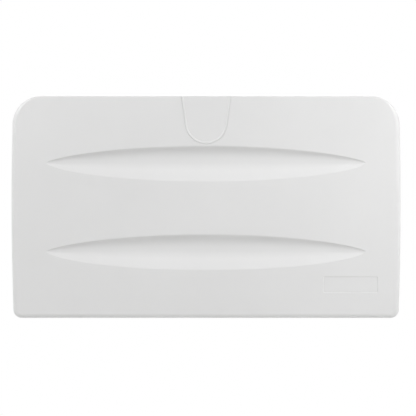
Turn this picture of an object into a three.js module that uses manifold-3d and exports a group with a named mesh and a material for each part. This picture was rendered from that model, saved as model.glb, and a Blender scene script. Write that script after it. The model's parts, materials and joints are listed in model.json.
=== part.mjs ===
// Wall-mounted horizontal baby changing station, folded shut, in millimetres with +Z up.
// X runs along the wall, the wall is the plane Y = 0 and the front faces -Y.
// A depth is a distance from the wall, so a point at depth d lies at Y = -d.
// The origin is the centre of the housing's back face. Left and right are as seen from the front.
import * as THREE from 'three';
import { mergeVertices } from 'three/addons/utils/BufferGeometryUtils.js';
import Module from 'manifold-3d';

const wasm = await Module();
wasm.setup();

// Overall form of the closed station
const WIDTH = 880;
const TOP_WIDTH = 876;
const BOTTOM_WIDTH = 872;
const HEIGHT = 502;
const DEPTH = 102;
const TOP_CORNER_RADIUS = 65;
const BOTTOM_CORNER_RADIUS = 20;
const SIDE_FILLET = 12;
const TOP_FILLET = 3;
const BOTTOM_FILLET = 10;
const FILLET_STEPS = 5;

// Fits
const FIT = 0.3;
const OVERCUT = 5;
const SAME_POINT = 1e-4;

// Housing on the wall
const HOUSING_DEPTH = 40;
const HOUSING_SETBACK = 3;
const HOUSING_WALL = 4;
const PARTING_GAP = 2;
const STUD_SPACING = 406.4;
const WALL_HOLE_DIAMETER = 9;
const WALL_HOLE_Z = [170, -150];

// Steel wall brackets
const BRACKET_WIDTH = 40;
const BRACKET_THICKNESS = 3;
const BRACKET_END_MARGIN = 30;
const BRACKET_CORNER = 8;

// Back panel and liner trays
const PANEL_FRONT_DEPTH = 26;
const PANEL_THICKNESS = 3;
const LINER_WIDTH = 164;
const LINER_HEIGHT = 150;
const LINER_WALL = 2;
const LINER_CENTRE_X = 98;
const LINER_CENTRE_Z = 20;
const LINER_SLOT_WIDTH = 130;
const LINER_SLOT_HEIGHT = 34;
const LINER_SLOT_RISE = 35;

// Bag hooks
const HOOK_SIDE_MARGIN = 108;
const HOOK_TOP_MARGIN = 79;
const HOOK_STRAIGHT = 40;
const HOOK_RADIUS = 13;
const HOOK_TIP_RISE = 16;
const HOOK_THICKNESS = 4;
const HOOK_WIDTH = 26;

// Front cover of the bed
const COVER_WALL = 4;
const SCOOP_TOP_MARGIN = 151;
const SCOOP_PITCH = 200;
const SCOOP_HALF_LENGTH = 360;
const SCOOP_RISE = 36.5;
const SCOOP_DROP = 42.5;
const SCOOP_DEPTH = 12;
const SCOOP_TOP_POWER = 0.7;
const SCOOP_BOTTOM_POWER = 0.6;
const SCOOP_DEEPEST = 0.45;
const SCOOP_WALL_POWER = 3;
const SCOOP_RAMP_BEND = 0.4;
const SCOOP_TIP_ANGLE = 1.494;
const SCOOP_STATIONS = 20;
const SCOOP_STEPS = 10;
const LABEL_WIDTH = 122;
const LABEL_HEIGHT = 35.5;
const LABEL_SIDE_MARGIN = 114;
const LABEL_BOTTOM_MARGIN = 75.5;
const LABEL_DEPTH = 1;
const LABEL_CORNER = 3;

// Handle tongue and its finger cup
const TONGUE_TOP_WIDTH = 113.6;
const TONGUE_RADIUS = 48.5;
const TONGUE_LENGTH = 109.2;
const TONGUE_RECESS = 1;
const TONGUE_CHAMFER = 0.8;
const BEAD_WIDTH = 5;
const BEAD_CREST = 0.6;
const BEAD_STEPS = 3;
const TONGUE_FLANGE = 3;
const TONGUE_FLANGE_LAP = 3.4;
const CUP_HALF_WIDTH = 40;
const CUP_LENGTH = 73;
const CUP_BACK_DEPTH = 75;
const CUP_WALL = 3;

// Changing tray
const TRAY_DEPTH = 32;
const TRAY_WALL = 3.5;
const TRAY_SIDE_RIM = 20;
const TRAY_TOP_RIM = 46;
const TRAY_BOTTOM_RIM = 12;
const TRAY_SIDE_SLOPE = 70;
const TRAY_END_SLOPE = 55;
const TRAY_FLOOR_RADIUS = 45;
const TRAY_SLOPE_STEPS = 5;

// Piano hinge
const HINGE_RISE = 30;
const HINGE_END_MARGIN = 74;
const KNUCKLE_RADIUS = 6;
const KNUCKLE_COUNT = 9;
const KNUCKLE_GAP = 0.5;
const LEAF_THICKNESS = 2;
const LEAF_CLEARANCE = 1.2;
const PIN_DIAMETER = 7;
const HINGE_BAY = 61;
const FIXED_LEAF_BACK = 8;
const FIXED_LEAF_BEND = 27;
const ROUND_SIDES = 20;

// Rotary dampers on the hinge axis
const DAMPER_RADIUS = 9.5;
const DAMPER_LENGTH = 36;
const DAMPER_OFFSET = 4;
const DAMPER_FOOT_REACH = 22;
const DAMPER_FOOT_THICKNESS = 3;
const DAMPER_SHAFT_DIAMETER = 6.4;
const DAMPER_SHAFT_DEPTH = 18;
const ARM_THICKNESS = 6;
const ARM_RADIUS = 8;
const ARM_REACH = 24;
const ARM_RISE = 15;

// Stops, catches and rails
const STOP_SIDE_MARGIN = 136;
const STOP_WIDTH = 60;
const STOP_HEIGHT = 20;
const STOP_DROP = 5;
const STOP_CORNER = 6;
const CATCH_SIDE_MARGIN = 138;
const CATCH_WIDTH = 40;
const CATCH_HEIGHT = 18;
const STRIKE_MARGIN = 2;
const STRIKE_THICKNESS = 1.5;
const RAIL_END_MARGIN = 132;
const RAIL_WIDTH = 30;
const RAIL_THICKNESS = 4;
const RAIL_SEAT = 50;
const RAIL_JOG = 56;

// Safety strap and buckle
const STRAP_WIDTH = 40;
const STRAP_THICKNESS = 2;
const STRAP_BEND = 2.5;
const STRAP_TAIL = 18;
const STRAP_SLOT_INSET = 20;
const STRAP_SLOT_WIDTH = 46;
const STRAP_SLOT_HEIGHT = 5;
const BEZEL_MARGIN = 8;
const BEZEL_THICKNESS = 1.2;
const ANCHOR_THICKNESS = 3;
const ANCHOR_WIDTH = 58;
const BUCKLE_WIDTH = 52;
const BUCKLE_THICKNESS = 11.5;
const BUCKLE_CORNER = 5;
const FEMALE_LENGTH = 44;
const MALE_LENGTH = 24;
const BUCKLE_WALL = 3;
const BUCKLE_CAVITY_WIDTH = 40;
const PRONG_LENGTH = 26;
const PRONG_WIDTH = 6.5;
const PRONG_PLAY = 0.4;
const BUCKLE_WINDOW = 12;
const STRAP_GRIP = 9;

// Levels that several pieces share
const TOP_Z = HEIGHT / 2;
const BOTTOM_Z = -HEIGHT / 2;
const BED_BACK = HOUSING_DEPTH + PARTING_GAP;
const HINGE_DEPTH = HOUSING_DEPTH;
const HINGE_Z = BOTTOM_Z + HINGE_RISE;
const HOUSING_FLOOR_Z = HINGE_Z + DAMPER_RADIUS + FIT;
const HOUSING_INNER_TOP_Z = TOP_Z - HOUSING_SETBACK - HOUSING_WALL;
const BACK_WALL_FACE = HOUSING_WALL + FIT;
const COVER_INNER_FRONT = DEPTH - COVER_WALL;
const FLANGE_FRONT = COVER_INNER_FRONT - FIT;
const FLANGE_BACK = FLANGE_FRONT - TONGUE_FLANGE;
const HINGE_LENGTH = BOTTOM_WIDTH - 2 * HINGE_END_MARGIN;
const SCOOP_TIP_Z = [TOP_Z - SCOOP_TOP_MARGIN, TOP_Z - SCOOP_TOP_MARGIN - SCOOP_PITCH];
const TONGUE_LOWEST_Z = TOP_Z - TONGUE_LENGTH;
const CUP_BOTTOM_Z = TOP_Z - CUP_LENGTH;
const TRAY_LOW_Z = BOTTOM_Z + HINGE_BAY;
const TRAY_FLOOR_LOW_Z = TRAY_LOW_Z + TRAY_BOTTOM_RIM + TRAY_END_SLOPE;
const TRAY_FLOOR_HIGH_Z = TOP_Z - TRAY_TOP_RIM - TRAY_END_SLOPE;
const STRAP_SLOT_Z = [TRAY_FLOOR_LOW_Z + STRAP_SLOT_INSET, TRAY_FLOOR_HIGH_Z - STRAP_SLOT_INSET];
const BUCKLE_MOUTH_Z = (STRAP_SLOT_Z[0] + STRAP_SLOT_Z[1] + FEMALE_LENGTH - MALE_LENGTH) / 2;
const TRAY_FLOOR_DEPTH = BED_BACK + TRAY_DEPTH;
const TRAY_BACK_DEPTH = TRAY_FLOOR_DEPTH + TRAY_WALL;
const LEAF_FRONT = HINGE_DEPTH + KNUCKLE_RADIUS;
const STRAP_DEPTH = TRAY_FLOOR_DEPTH - 2 * FIT - BEZEL_THICKNESS - FIT - STRAP_THICKNESS / 2;
const BUCKLE_FRONT = TRAY_FLOOR_DEPTH - FIT;
const SIDES = [['left', -1], ['right', 1]];

// Finishes
const whitePlastic = { color: 0xe9e9e8, roughness: 0.42, metalness: 0 };
const greyPlastic = { color: 0xd6d7d8, roughness: 0.5, metalness: 0 };
const steel = { color: 0xb9bcc0, roughness: 0.35, metalness: 0.9 };
const darkPlastic = { color: 0x2b2c2f, roughness: 0.45, metalness: 0 };
const rubber = { color: 0x1f1f20, roughness: 0.8, metalness: 0 };
const webbing = { color: 0x3b3f46, roughness: 0.9, metalness: 0 };

// Makes a closed solid from a geometry, with its shared corners merged.
function solid(geometry) {
  const bare = new THREE.BufferGeometry();
  bare.setAttribute('position', geometry.getAttribute('position'));
  bare.setIndex(geometry.getIndex());
  const merged = mergeVertices(bare, SAME_POINT);
  const corners = merged.getIndex().array;
  const triangles = [];
  for (let i = 0; i < corners.length; i += 3) {
    const [a, b, c] = corners.slice(i, i + 3);
    if (a !== b && b !== c && c !== a) triangles.push(a, b, c);
  }
  return new wasm.Manifold(new wasm.Mesh({
    numProp: 3,
    vertProperties: new Float32Array(merged.getAttribute('position').array),
    triVerts: new Uint32Array(triangles),
  }));
}

// Makes the named mesh of one sub-part from its solid.
function piece(name, body, finish) {
  const { vertProperties, triVerts } = body.getMesh();
  const geometry = new THREE.BufferGeometry();
  geometry.setAttribute('position', new THREE.BufferAttribute(vertProperties, 3));
  geometry.setIndex(new THREE.BufferAttribute(triVerts, 1));
  geometry.computeVertexNormals();
  const mesh = new THREE.Mesh(geometry, new THREE.MeshStandardMaterial({ ...finish, flatShading: true }));
  mesh.name = name;
  return mesh;
}

// Extrudes an outline drawn in X and Z between two depths.
function slab(shape, from, to, curveSegments = 6) {
  const geometry = new THREE.ExtrudeGeometry(shape, { depth: to - from, bevelEnabled: false, curveSegments });
  return solid(geometry.translate(0, 0, from).rotateX(Math.PI / 2));
}

// Extrudes a profile drawn in depth and Z between two places along X.
function bar(shape, from, to, curveSegments = 6) {
  const low = Math.min(from, to);
  const high = Math.max(from, to);
  const geometry = new THREE.ExtrudeGeometry(shape, { depth: high - low, bevelEnabled: false, curveSegments });
  const depthToMinusY = new THREE.Matrix4().set(0, 0, -1, high, -1, 0, 0, 0, 0, 1, 0, 0, 0, 0, 0, 1);
  return solid(geometry.applyMatrix4(depthToMinusY));
}

// A block between two X, two depths and two heights.
function block([x0, x1], [d0, d1], [z0, z1]) {
  const geometry = new THREE.BoxGeometry(Math.abs(x1 - x0), d1 - d0, z1 - z0);
  return solid(geometry.translate((x0 + x1) / 2, -(d0 + d1) / 2, (z0 + z1) / 2));
}

// A round rod along X, on the hinge axis unless placed elsewhere.
function rod(radius, [x0, x1], depth = HINGE_DEPTH, z = HINGE_Z) {
  const geometry = new THREE.CylinderGeometry(radius, radius, Math.abs(x1 - x0), ROUND_SIDES);
  return solid(geometry.rotateZ(Math.PI / 2).translate((x0 + x1) / 2, -depth, z));
}

// A round drill through the wall direction.
function drill(diameter, x, z, from, to) {
  const geometry = new THREE.CylinderGeometry(diameter / 2, diameter / 2, to - from, ROUND_SIDES);
  return solid(geometry.translate(x, -(from + to) / 2, z));
}

// Skins a row of equal-length sections and caps both ends.
function loft(sections, place) {
  const count = sections[0].points.length;
  const positions = sections.flatMap(({ points, at }) => points.flatMap((point) => place(point, at)));
  const index = [];
  for (let s = 0; s < sections.length - 1; s += 1) {
    for (let i = 0; i < count; i += 1) {
      const a = s * count + i;
      const b = s * count + ((i + 1) % count);
      index.push(a, b, b + count, a, b + count, a + count);
    }
  }
  const lastStart = (sections.length - 1) * count;
  const cap = (section) => THREE.ShapeUtils.triangulateShape(section.points, []);
  cap(sections[0]).forEach(([a, b, c]) => index.push(c, b, a));
  cap(sections.at(-1)).forEach(([a, b, c]) => index.push(lastStart + a, lastStart + b, lastStart + c));
  const corner = (i) => new THREE.Vector3().fromArray(positions, i * 3);
  let volume = 0;
  for (let i = 0; i < index.length; i += 3) {
    volume += corner(index[i]).dot(corner(index[i + 1]).cross(corner(index[i + 2])));
  }
  const geometry = new THREE.BufferGeometry();
  geometry.setAttribute('position', new THREE.Float32BufferAttribute(positions, 3));
  geometry.setIndex(volume < 0 ? index.reverse() : index);
  return solid(geometry);
}

const stackedInDepth = (point, depth) => [point.x, -depth, point.y];
const strungAlongX = (point, x) => [x, -point.x, point.y];

// A rectangle with round corners, in X and Z.
function roundedRectangle(width, height, radius, centreX = 0, centreZ = 0) {
  const right = centreX + width / 2 - radius;
  const left = centreX - width / 2 + radius;
  const high = centreZ + height / 2 - radius;
  const low = centreZ - height / 2 + radius;
  const shape = new THREE.Shape();
  shape.absarc(right, high, radius, 0, Math.PI / 2);
  shape.absarc(left, high, radius, Math.PI / 2, Math.PI);
  shape.absarc(left, low, radius, Math.PI, Math.PI * 1.5);
  shape.absarc(right, low, radius, Math.PI * 1.5, Math.PI * 2);
  return shape;
}

// A row of points without those that repeat the one before.
function distinct(points) {
  return points.filter((point, i) => i === 0 || point.distanceTo(points[i - 1]) > SAME_POINT);
}

// A flat strip of even thickness along a path drawn in depth and Z.
function strip(route, thickness) {
  const path = distinct(route);
  const edge = (side) => path.map((point, i) => {
    const before = point.clone().sub(path[Math.max(i - 1, 0)]);
    const after = path[Math.min(i + 1, path.length - 1)].clone().sub(point);
    const first = (before.length() > 0 ? before : after).normalize();
    const second = (after.length() > 0 ? after : before).normalize();
    const middle = first.clone().add(second).normalize();
    const reach = side * thickness / 2 / middle.dot(first);
    return new THREE.Vector2(point.x - middle.y * reach, point.y + middle.x * reach);
  });
  return new THREE.Shape([...edge(1), ...edge(-1).reverse()]);
}

// A straight lever with round ends between two points.
function lever(from, to, radius) {
  const turn = to.clone().sub(from).angle();
  const shape = new THREE.Shape();
  shape.absarc(to.x, to.y, radius, turn - Math.PI / 2, turn + Math.PI / 2);
  shape.absarc(from.x, from.y, radius, turn + Math.PI / 2, turn + Math.PI * 1.5);
  return shape;
}

// Half the bed's width at a height: the sides bow out gently between the corners.
function halfWidthAt(z) {
  const low = BOTTOM_Z + BOTTOM_CORNER_RADIUS;
  const high = TOP_Z - TOP_CORNER_RADIUS;
  const t = THREE.MathUtils.clamp((z - low) / (high - low), 0, 1);
  const crown = WIDTH - (TOP_WIDTH + BOTTOM_WIDTH) / 2;
  return (BOTTOM_WIDTH + (TOP_WIDTH - BOTTOM_WIDTH) * t + crown * 4 * t * (1 - t)) / 2;
}

// The bed's outline drawn in by its own amount at the sides, top and bottom.
function outline({ side, top, bottom, topRadius, bottomRadius }) {
  const high = TOP_Z - top;
  const low = BOTTOM_Z + bottom;
  const topHalf = TOP_WIDTH / 2 - side;
  const bottomHalf = BOTTOM_WIDTH / 2 - side;
  const crownHalf = WIDTH - (TOP_WIDTH + BOTTOM_WIDTH) / 4 - side;
  const [topX, topZ] = topRadius ?? [TOP_CORNER_RADIUS - side, TOP_CORNER_RADIUS - top];
  const [bottomX, bottomZ] = bottomRadius ?? [BOTTOM_CORNER_RADIUS - side, BOTTOM_CORNER_RADIUS - bottom];
  const middle = (high - topZ + low + bottomZ) / 2;
  const shape = new THREE.Shape();
  shape.absellipse(topHalf - topX, high - topZ, topX, topZ, 0, Math.PI / 2);
  shape.absellipse(topX - topHalf, high - topZ, topX, topZ, Math.PI / 2, Math.PI);
  shape.quadraticCurveTo(-crownHalf, middle, -bottomHalf, low + bottomZ);
  shape.absellipse(bottomX - bottomHalf, low + bottomZ, bottomX, bottomZ, Math.PI, Math.PI * 1.5);
  shape.absellipse(bottomHalf - bottomX, low + bottomZ, bottomX, bottomZ, Math.PI * 1.5, Math.PI * 2);
  shape.quadraticCurveTo(crownHalf, middle, topHalf, high - topZ);
  return shape;
}

const evenly = (inset) => ({ side: inset, top: inset, bottom: inset });

// The closed ring of points of an outline.
function ring(shape, divisions = 4) {
  const points = distinct(shape.getPoints(divisions));
  if (points[0].distanceTo(points.at(-1)) < SAME_POINT) points.pop();
  return points;
}

// The bed's block with its front edge rounded, drawn in all over by an inset.
function bedBlock(inset, back) {
  const front = DEPTH - inset;
  const rounding = (fillet, depth) => {
    const radius = Math.max(fillet - inset, 0);
    const rise = Math.max(depth - front + radius, 0);
    return inset + radius - Math.sqrt(Math.max(radius * radius - rise * rise, 0));
  };
  const depths = [back];
  for (let i = 0; i <= FILLET_STEPS; i += 1) {
    const angle = (Math.PI / 2) * (i / FILLET_STEPS);
    depths.push(front - Math.max(SIDE_FILLET - inset, 0) * (1 - Math.sin(angle)));
  }
  const sections = depths.map((depth) => ({
    at: depth,
    points: ring(outline({
      side: rounding(SIDE_FILLET, depth),
      top: rounding(TOP_FILLET, depth),
      bottom: rounding(BOTTOM_FILLET, depth),
    })),
  }));
  return loft(sections, stackedInDepth);
}

// How deep a scoop is from its upper edge (0) to its lower edge (1), as a share of its full depth.
function scoopProfile(t) {
  if (t < SCOOP_DEEPEST) return 1 - (1 - t / SCOOP_DEEPEST) ** SCOOP_WALL_POWER;
  const run = (t - SCOOP_DEEPEST) / (1 - SCOOP_DEEPEST);
  const climb = run < SCOOP_RAMP_BEND ? run * run / (2 * SCOOP_RAMP_BEND) : run - SCOOP_RAMP_BEND / 2;
  return 1 - climb / (1 - SCOOP_RAMP_BEND / 2);
}

// One lens-shaped scoop, open past the front face and grown all round by a wall.
function scoop(tipZ, wall) {
  const rise = SCOOP_RISE + wall;
  const drop = SCOOP_DROP + wall;
  const sections = [];
  for (let i = 0; i <= SCOOP_STATIONS; i += 1) {
    const share = Math.sin(SCOOP_TIP_ANGLE * (2 * i / SCOOP_STATIONS - 1));
    const above = rise * (1 - share * share) ** SCOOP_TOP_POWER;
    const below = drop * (1 - share * share) ** SCOOP_BOTTOM_POWER;
    const deep = (SCOOP_DEPTH + wall) * (above + below) / (rise + drop);
    const points = [new THREE.Vector2(DEPTH + OVERCUT, tipZ + above)];
    for (let j = 0; j <= SCOOP_STEPS; j += 1) {
      const t = j / SCOOP_STEPS;
      points.push(new THREE.Vector2(DEPTH - deep * scoopProfile(t), tipZ + above - t * (above + below)));
    }
    points.push(new THREE.Vector2(DEPTH + OVERCUT, tipZ - below));
    sections.push({ at: (SCOOP_HALF_LENGTH + wall) * share, points });
  }
  return loft(sections, strungAlongX);
}

// The U of the tongue: tapered sides that run into a round end, grown by an amount.
function tongue(grow, top) {
  const radius = TONGUE_RADIUS + grow;
  const half = TONGUE_TOP_WIDTH / 2 + grow;
  const centreZ = TONGUE_LOWEST_Z + TONGUE_RADIUS;
  const rise = TOP_Z - centreZ;
  const touch = Math.atan2(rise, half) - Math.acos(radius / Math.hypot(half, rise));
  const touchX = radius * Math.cos(touch);
  const touchZ = centreZ + radius * Math.sin(touch);
  const halfAtTop = half + (top - TOP_Z) * (half - touchX) / (TOP_Z - touchZ);
  const shape = new THREE.Shape();
  shape.moveTo(halfAtTop, top);
  shape.lineTo(-halfAtTop, top);
  shape.absarc(0, centreZ, radius, Math.PI - touch, Math.PI * 2 + touch);
  return shape;
}

// The tongue's outline stacked at rows of an amount to grow by and a depth.
function tongueStack(rows, top) {
  return loft(rows.map(([grow, depth]) => ({ at: depth, points: ring(tongue(grow, top), 10) })), stackedInDepth);
}

// One flank of the round bead along the tongue's edge, from its foot up to its crest.
function beadFlank(foot, way) {
  const half = (BEAD_WIDTH - BEAD_CREST) / 2;
  const rows = [];
  for (let i = 0; i <= BEAD_STEPS; i += 1) {
    const angle = (Math.PI / 2) * (i / BEAD_STEPS);
    rows.push([foot + way * half * (1 - Math.cos(angle)), DEPTH - TONGUE_RECESS * (1 - Math.sin(angle))]);
  }
  return rows;
}

// Outer shell of the bed: an even wall that follows the two scoops inside and out.
function bedCover() {
  let shell = bedBlock(0, BED_BACK);
  let hollow = bedBlock(COVER_WALL, BED_BACK - OVERCUT);
  for (const tipZ of SCOOP_TIP_Z) {
    shell = shell.subtract(scoop(tipZ, 0));
    hollow = hollow.subtract(scoop(tipZ, COVER_WALL));
  }
  const labelX = WIDTH / 2 - LABEL_SIDE_MARGIN;
  const labelZ = BOTTOM_Z + LABEL_BOTTOM_MARGIN;
  const label = roundedRectangle(LABEL_WIDTH, LABEL_HEIGHT, LABEL_CORNER, labelX, labelZ);
  const cupHalf = CUP_HALF_WIDTH + FIT;
  return shell
    .subtract(hollow)
    .subtract(slab(label, DEPTH - LABEL_DEPTH, DEPTH + OVERCUT, 3))
    .subtract(tongueStack([
      [0, FLANGE_BACK - FIT],
      [0, DEPTH - TONGUE_CHAMFER],
      [TONGUE_CHAMFER + OVERCUT, DEPTH + OVERCUT],
    ], TOP_Z + OVERCUT))
    .subtract(block(
      [-cupHalf, cupHalf],
      [CUP_BACK_DEPTH - FIT, COVER_INNER_FRONT],
      [TOP_Z - COVER_WALL - OVERCUT, TOP_Z + OVERCUT],
    ));
}

// Handle tongue set in the cover's cut-out: a beaded edge, a flange behind and a finger cup open at the top.
function handleInsert() {
  const underTop = TOP_Z - COVER_WALL - FIT;
  const cupOuter = CUP_HALF_WIDTH + CUP_WALL;
  const innerFlank = beadFlank(-FIT - BEAD_WIDTH, 1);
  const face = tongueStack([...innerFlank, [innerFlank.at(-1)[0], DEPTH + OVERCUT]], TOP_Z + OVERCUT);
  return tongueStack([[-FIT, FLANGE_BACK], ...beadFlank(-FIT, -1)], TOP_Z)
    .subtract(face)
    .intersect(bedBlock(0, BED_BACK))
    .add(slab(tongue(TONGUE_FLANGE_LAP, underTop), FLANGE_BACK, FLANGE_FRONT, 10))
    .add(block(
      [-cupOuter, cupOuter],
      [CUP_BACK_DEPTH - CUP_WALL, FLANGE_FRONT],
      [CUP_BOTTOM_Z - CUP_WALL, underTop],
    ))
    .subtract(block(
      [-CUP_HALF_WIDTH, CUP_HALF_WIDTH],
      [CUP_BACK_DEPTH, FLANGE_FRONT],
      [CUP_BOTTOM_Z, TOP_Z + OVERCUT],
    ));
}

// Concave changing surface with a flat rim, moulded as one sheet, with two strap slots.
function bedTray() {
  const edge = COVER_WALL + FIT;
  const rimAndSlope = (share) => ({
    side: TRAY_SIDE_RIM + TRAY_SIDE_SLOPE * share,
    top: TRAY_TOP_RIM + TRAY_END_SLOPE * share,
    bottom: HINGE_BAY + TRAY_BOTTOM_RIM + TRAY_END_SLOPE * share,
    topRadius: [TRAY_FLOOR_RADIUS, TRAY_FLOOR_RADIUS],
    bottomRadius: [TRAY_FLOOR_RADIUS, TRAY_FLOOR_RADIUS],
  });
  const outerEdge = {
    side: edge,
    top: edge,
    bottom: HINGE_BAY,
    bottomRadius: [BOTTOM_CORNER_RADIUS, BOTTOM_CORNER_RADIUS],
  };
  const face = [{ at: BED_BACK, points: ring(outline(outerEdge)) }];
  for (let i = 0; i <= TRAY_SLOPE_STEPS; i += 1) {
    const share = i / TRAY_SLOPE_STEPS;
    const sunk = TRAY_DEPTH * (1 - Math.cos(Math.PI * share)) / 2;
    face.push({ at: BED_BACK + sunk, points: ring(outline(rimAndSlope(share))) });
  }
  const back = face.map(({ at, points }) => ({ at: at + TRAY_WALL, points }));
  let tray = loft([...face.reverse(), ...back], stackedInDepth);
  for (const z of STRAP_SLOT_Z) {
    tray = tray.subtract(block(
      [-STRAP_SLOT_WIDTH / 2, STRAP_SLOT_WIDTH / 2],
      [TRAY_FLOOR_DEPTH - OVERCUT, TRAY_BACK_DEPTH + OVERCUT],
      [z - STRAP_SLOT_HEIGHT / 2, z + STRAP_SLOT_HEIGHT / 2],
    ));
  }
  return tray;
}

// Back shell on the wall: rim all round, a raised floor and a bare skirt below it for the hinge.
function wallHousing() {
  const across = [-WIDTH, WIDTH];
  const rim = slab(outline(evenly(HOUSING_SETBACK)), 0, HOUSING_DEPTH, 4);
  const inside = slab(outline(evenly(HOUSING_SETBACK + HOUSING_WALL)), HOUSING_WALL, HOUSING_DEPTH + OVERCUT, 4);
  const aboveFloor = block(across, [0, DEPTH], [HOUSING_FLOOR_Z + HOUSING_WALL, HEIGHT]);
  const belowFloor = block(across, [HOUSING_WALL, DEPTH], [-HEIGHT, HOUSING_FLOOR_Z]);
  let housing = rim.subtract(inside.intersect(aboveFloor)).subtract(belowFloor);
  for (const [, side] of SIDES) {
    for (const z of WALL_HOLE_Z) {
      housing = housing.subtract(
        drill(WALL_HOLE_DIAMETER, side * STUD_SPACING / 2, z, -OVERCUT, HOUSING_WALL + OVERCUT),
      );
    }
  }
  return housing;
}

// Flat steel strip that spreads the wall screws' load inside the housing.
function wallBracket(side) {
  const x = side * STUD_SPACING / 2;
  const high = WALL_HOLE_Z[0] + BRACKET_END_MARGIN;
  const low = WALL_HOLE_Z[1] - BRACKET_END_MARGIN;
  const shape = roundedRectangle(BRACKET_WIDTH, high - low, BRACKET_CORNER, x, (high + low) / 2);
  let bracket = slab(shape, BACK_WALL_FACE, BACK_WALL_FACE + BRACKET_THICKNESS, 4);
  for (const z of WALL_HOLE_Z) bracket = bracket.subtract(drill(WALL_HOLE_DIAMETER, x, z, 0, HOUSING_DEPTH));
  return bracket;
}

// Inner face of the housing, with a long round-ended slot for each stack of liners.
function backPanel() {
  const gap = HOUSING_SETBACK + HOUSING_WALL + FIT;
  const floor = HOUSING_FLOOR_Z + HOUSING_WALL + FIT - BOTTOM_Z;
  const corner = [BOTTOM_CORNER_RADIUS, BOTTOM_CORNER_RADIUS];
  const shape = outline({ side: gap, top: gap, bottom: floor, bottomRadius: corner });
  let panel = slab(shape, PANEL_FRONT_DEPTH - PANEL_THICKNESS, PANEL_FRONT_DEPTH, 4);
  for (const [, side] of SIDES) {
    const slot = roundedRectangle(
      LINER_SLOT_WIDTH,
      LINER_SLOT_HEIGHT,
      LINER_SLOT_HEIGHT / 2 - FIT,
      side * LINER_CENTRE_X,
      LINER_CENTRE_Z + LINER_SLOT_RISE,
    );
    panel = panel.subtract(slab(slot, 0, HOUSING_DEPTH));
  }
  return panel;
}

// Shallow pocket behind the panel that holds the liners, open towards the slot.
function linerTray(side) {
  const x = side * LINER_CENTRE_X;
  const back = BACK_WALL_FACE;
  const front = PANEL_FRONT_DEPTH - PANEL_THICKNESS - FIT;
  const pocket = (wall) => [
    [x - LINER_WIDTH / 2 + wall, x + LINER_WIDTH / 2 - wall],
    [LINER_CENTRE_Z - LINER_HEIGHT / 2 + wall, LINER_CENTRE_Z + LINER_HEIGHT / 2 - wall],
  ];
  const [outerX, outerZ] = pocket(0);
  const [innerX, innerZ] = pocket(LINER_WALL);
  return block(outerX, [back, front], outerZ)
    .subtract(block(innerX, [back + LINER_WALL, front + OVERCUT], innerZ));
}

// J-shaped hook: a flat back on the panel, a round bottom and an upturned tip.
function bagHook(side) {
  const back = PANEL_FRONT_DEPTH + FIT + HOOK_THICKNESS / 2;
  const topZ = TOP_Z - HOOK_TOP_MARGIN;
  const bendZ = topZ - HOOK_STRAIGHT;
  const path = new THREE.Path();
  path.moveTo(back, topZ);
  path.lineTo(back, bendZ);
  path.absarc(back + HOOK_RADIUS, bendZ, HOOK_RADIUS, Math.PI, Math.PI * 2);
  path.lineTo(back + 2 * HOOK_RADIUS, bendZ + HOOK_TIP_RISE);
  const x = side * (TOP_WIDTH / 2 - HOOK_SIDE_MARGIN);
  return bar(strip(path.getPoints(6), HOOK_THICKNESS), x - HOOK_WIDTH / 2, x + HOOK_WIDTH / 2);
}

// Stretches of the hinge's knuckles along X: the even ones belong to the fixed leaf.
function knuckles(moving) {
  const pitch = HINGE_LENGTH / KNUCKLE_COUNT;
  const spans = [];
  for (let i = 0; i < KNUCKLE_COUNT; i += 1) {
    const start = -HINGE_LENGTH / 2 + i * pitch;
    if ((i % 2 === 1) === moving) spans.push([start, start + pitch]);
  }
  return spans;
}

// Joins a leaf's own knuckles, clears the other leaf's and bores for the pin.
function withKnuckles(leaf, moving) {
  const room = KNUCKLE_RADIUS + LEAF_CLEARANCE;
  let result = leaf;
  for (const [start, end] of knuckles(!moving)) {
    result = result.subtract(block(
      [start, end],
      [HINGE_DEPTH - room, HINGE_DEPTH + room],
      [HINGE_Z - room, HINGE_Z + room],
    ));
  }
  for (const [start, end] of knuckles(moving)) {
    result = result.add(rod(KNUCKLE_RADIUS, [start + KNUCKLE_GAP, end - KNUCKLE_GAP]));
  }
  return result.subtract(rod(PIN_DIAMETER / 2 + FIT, [-HINGE_LENGTH, HINGE_LENGTH]));
}

// Housing's leaf: a flange under the floor, stepped down onto the knuckles.
function hingeLeafFixed() {
  const flangeZ = HOUSING_FLOOR_Z - FIT - LEAF_THICKNESS / 2;
  const path = [
    new THREE.Vector2(FIXED_LEAF_BACK, flangeZ),
    new THREE.Vector2(FIXED_LEAF_BEND, flangeZ),
    new THREE.Vector2(HINGE_DEPTH, HINGE_Z + KNUCKLE_RADIUS - LEAF_THICKNESS / 2),
  ];
  return withKnuckles(bar(strip(path, LEAF_THICKNESS), -HINGE_LENGTH / 2, HINGE_LENGTH / 2), false);
}

// Bed's leaf: a flat plate that closes the hinge bay, with its knuckles on the wall side.
function hingeLeafMoving() {
  const plate = block(
    [-HINGE_LENGTH / 2, HINGE_LENGTH / 2],
    [LEAF_FRONT - LEAF_THICKNESS, LEAF_FRONT],
    [BOTTOM_Z + COVER_WALL + FIT, TRAY_LOW_Z - FIT],
  );
  return withKnuckles(plate, true);
}

function hingePin() {
  return rod(PIN_DIAMETER / 2, [-HINGE_LENGTH / 2 - DAMPER_OFFSET / 2, HINGE_LENGTH / 2 + DAMPER_OFFSET / 2]);
}

const damperStart = HINGE_LENGTH / 2 + DAMPER_OFFSET;
const damperEnd = damperStart + DAMPER_LENGTH;
const towards = (side, start, end) => [side * start, side * end];

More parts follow.
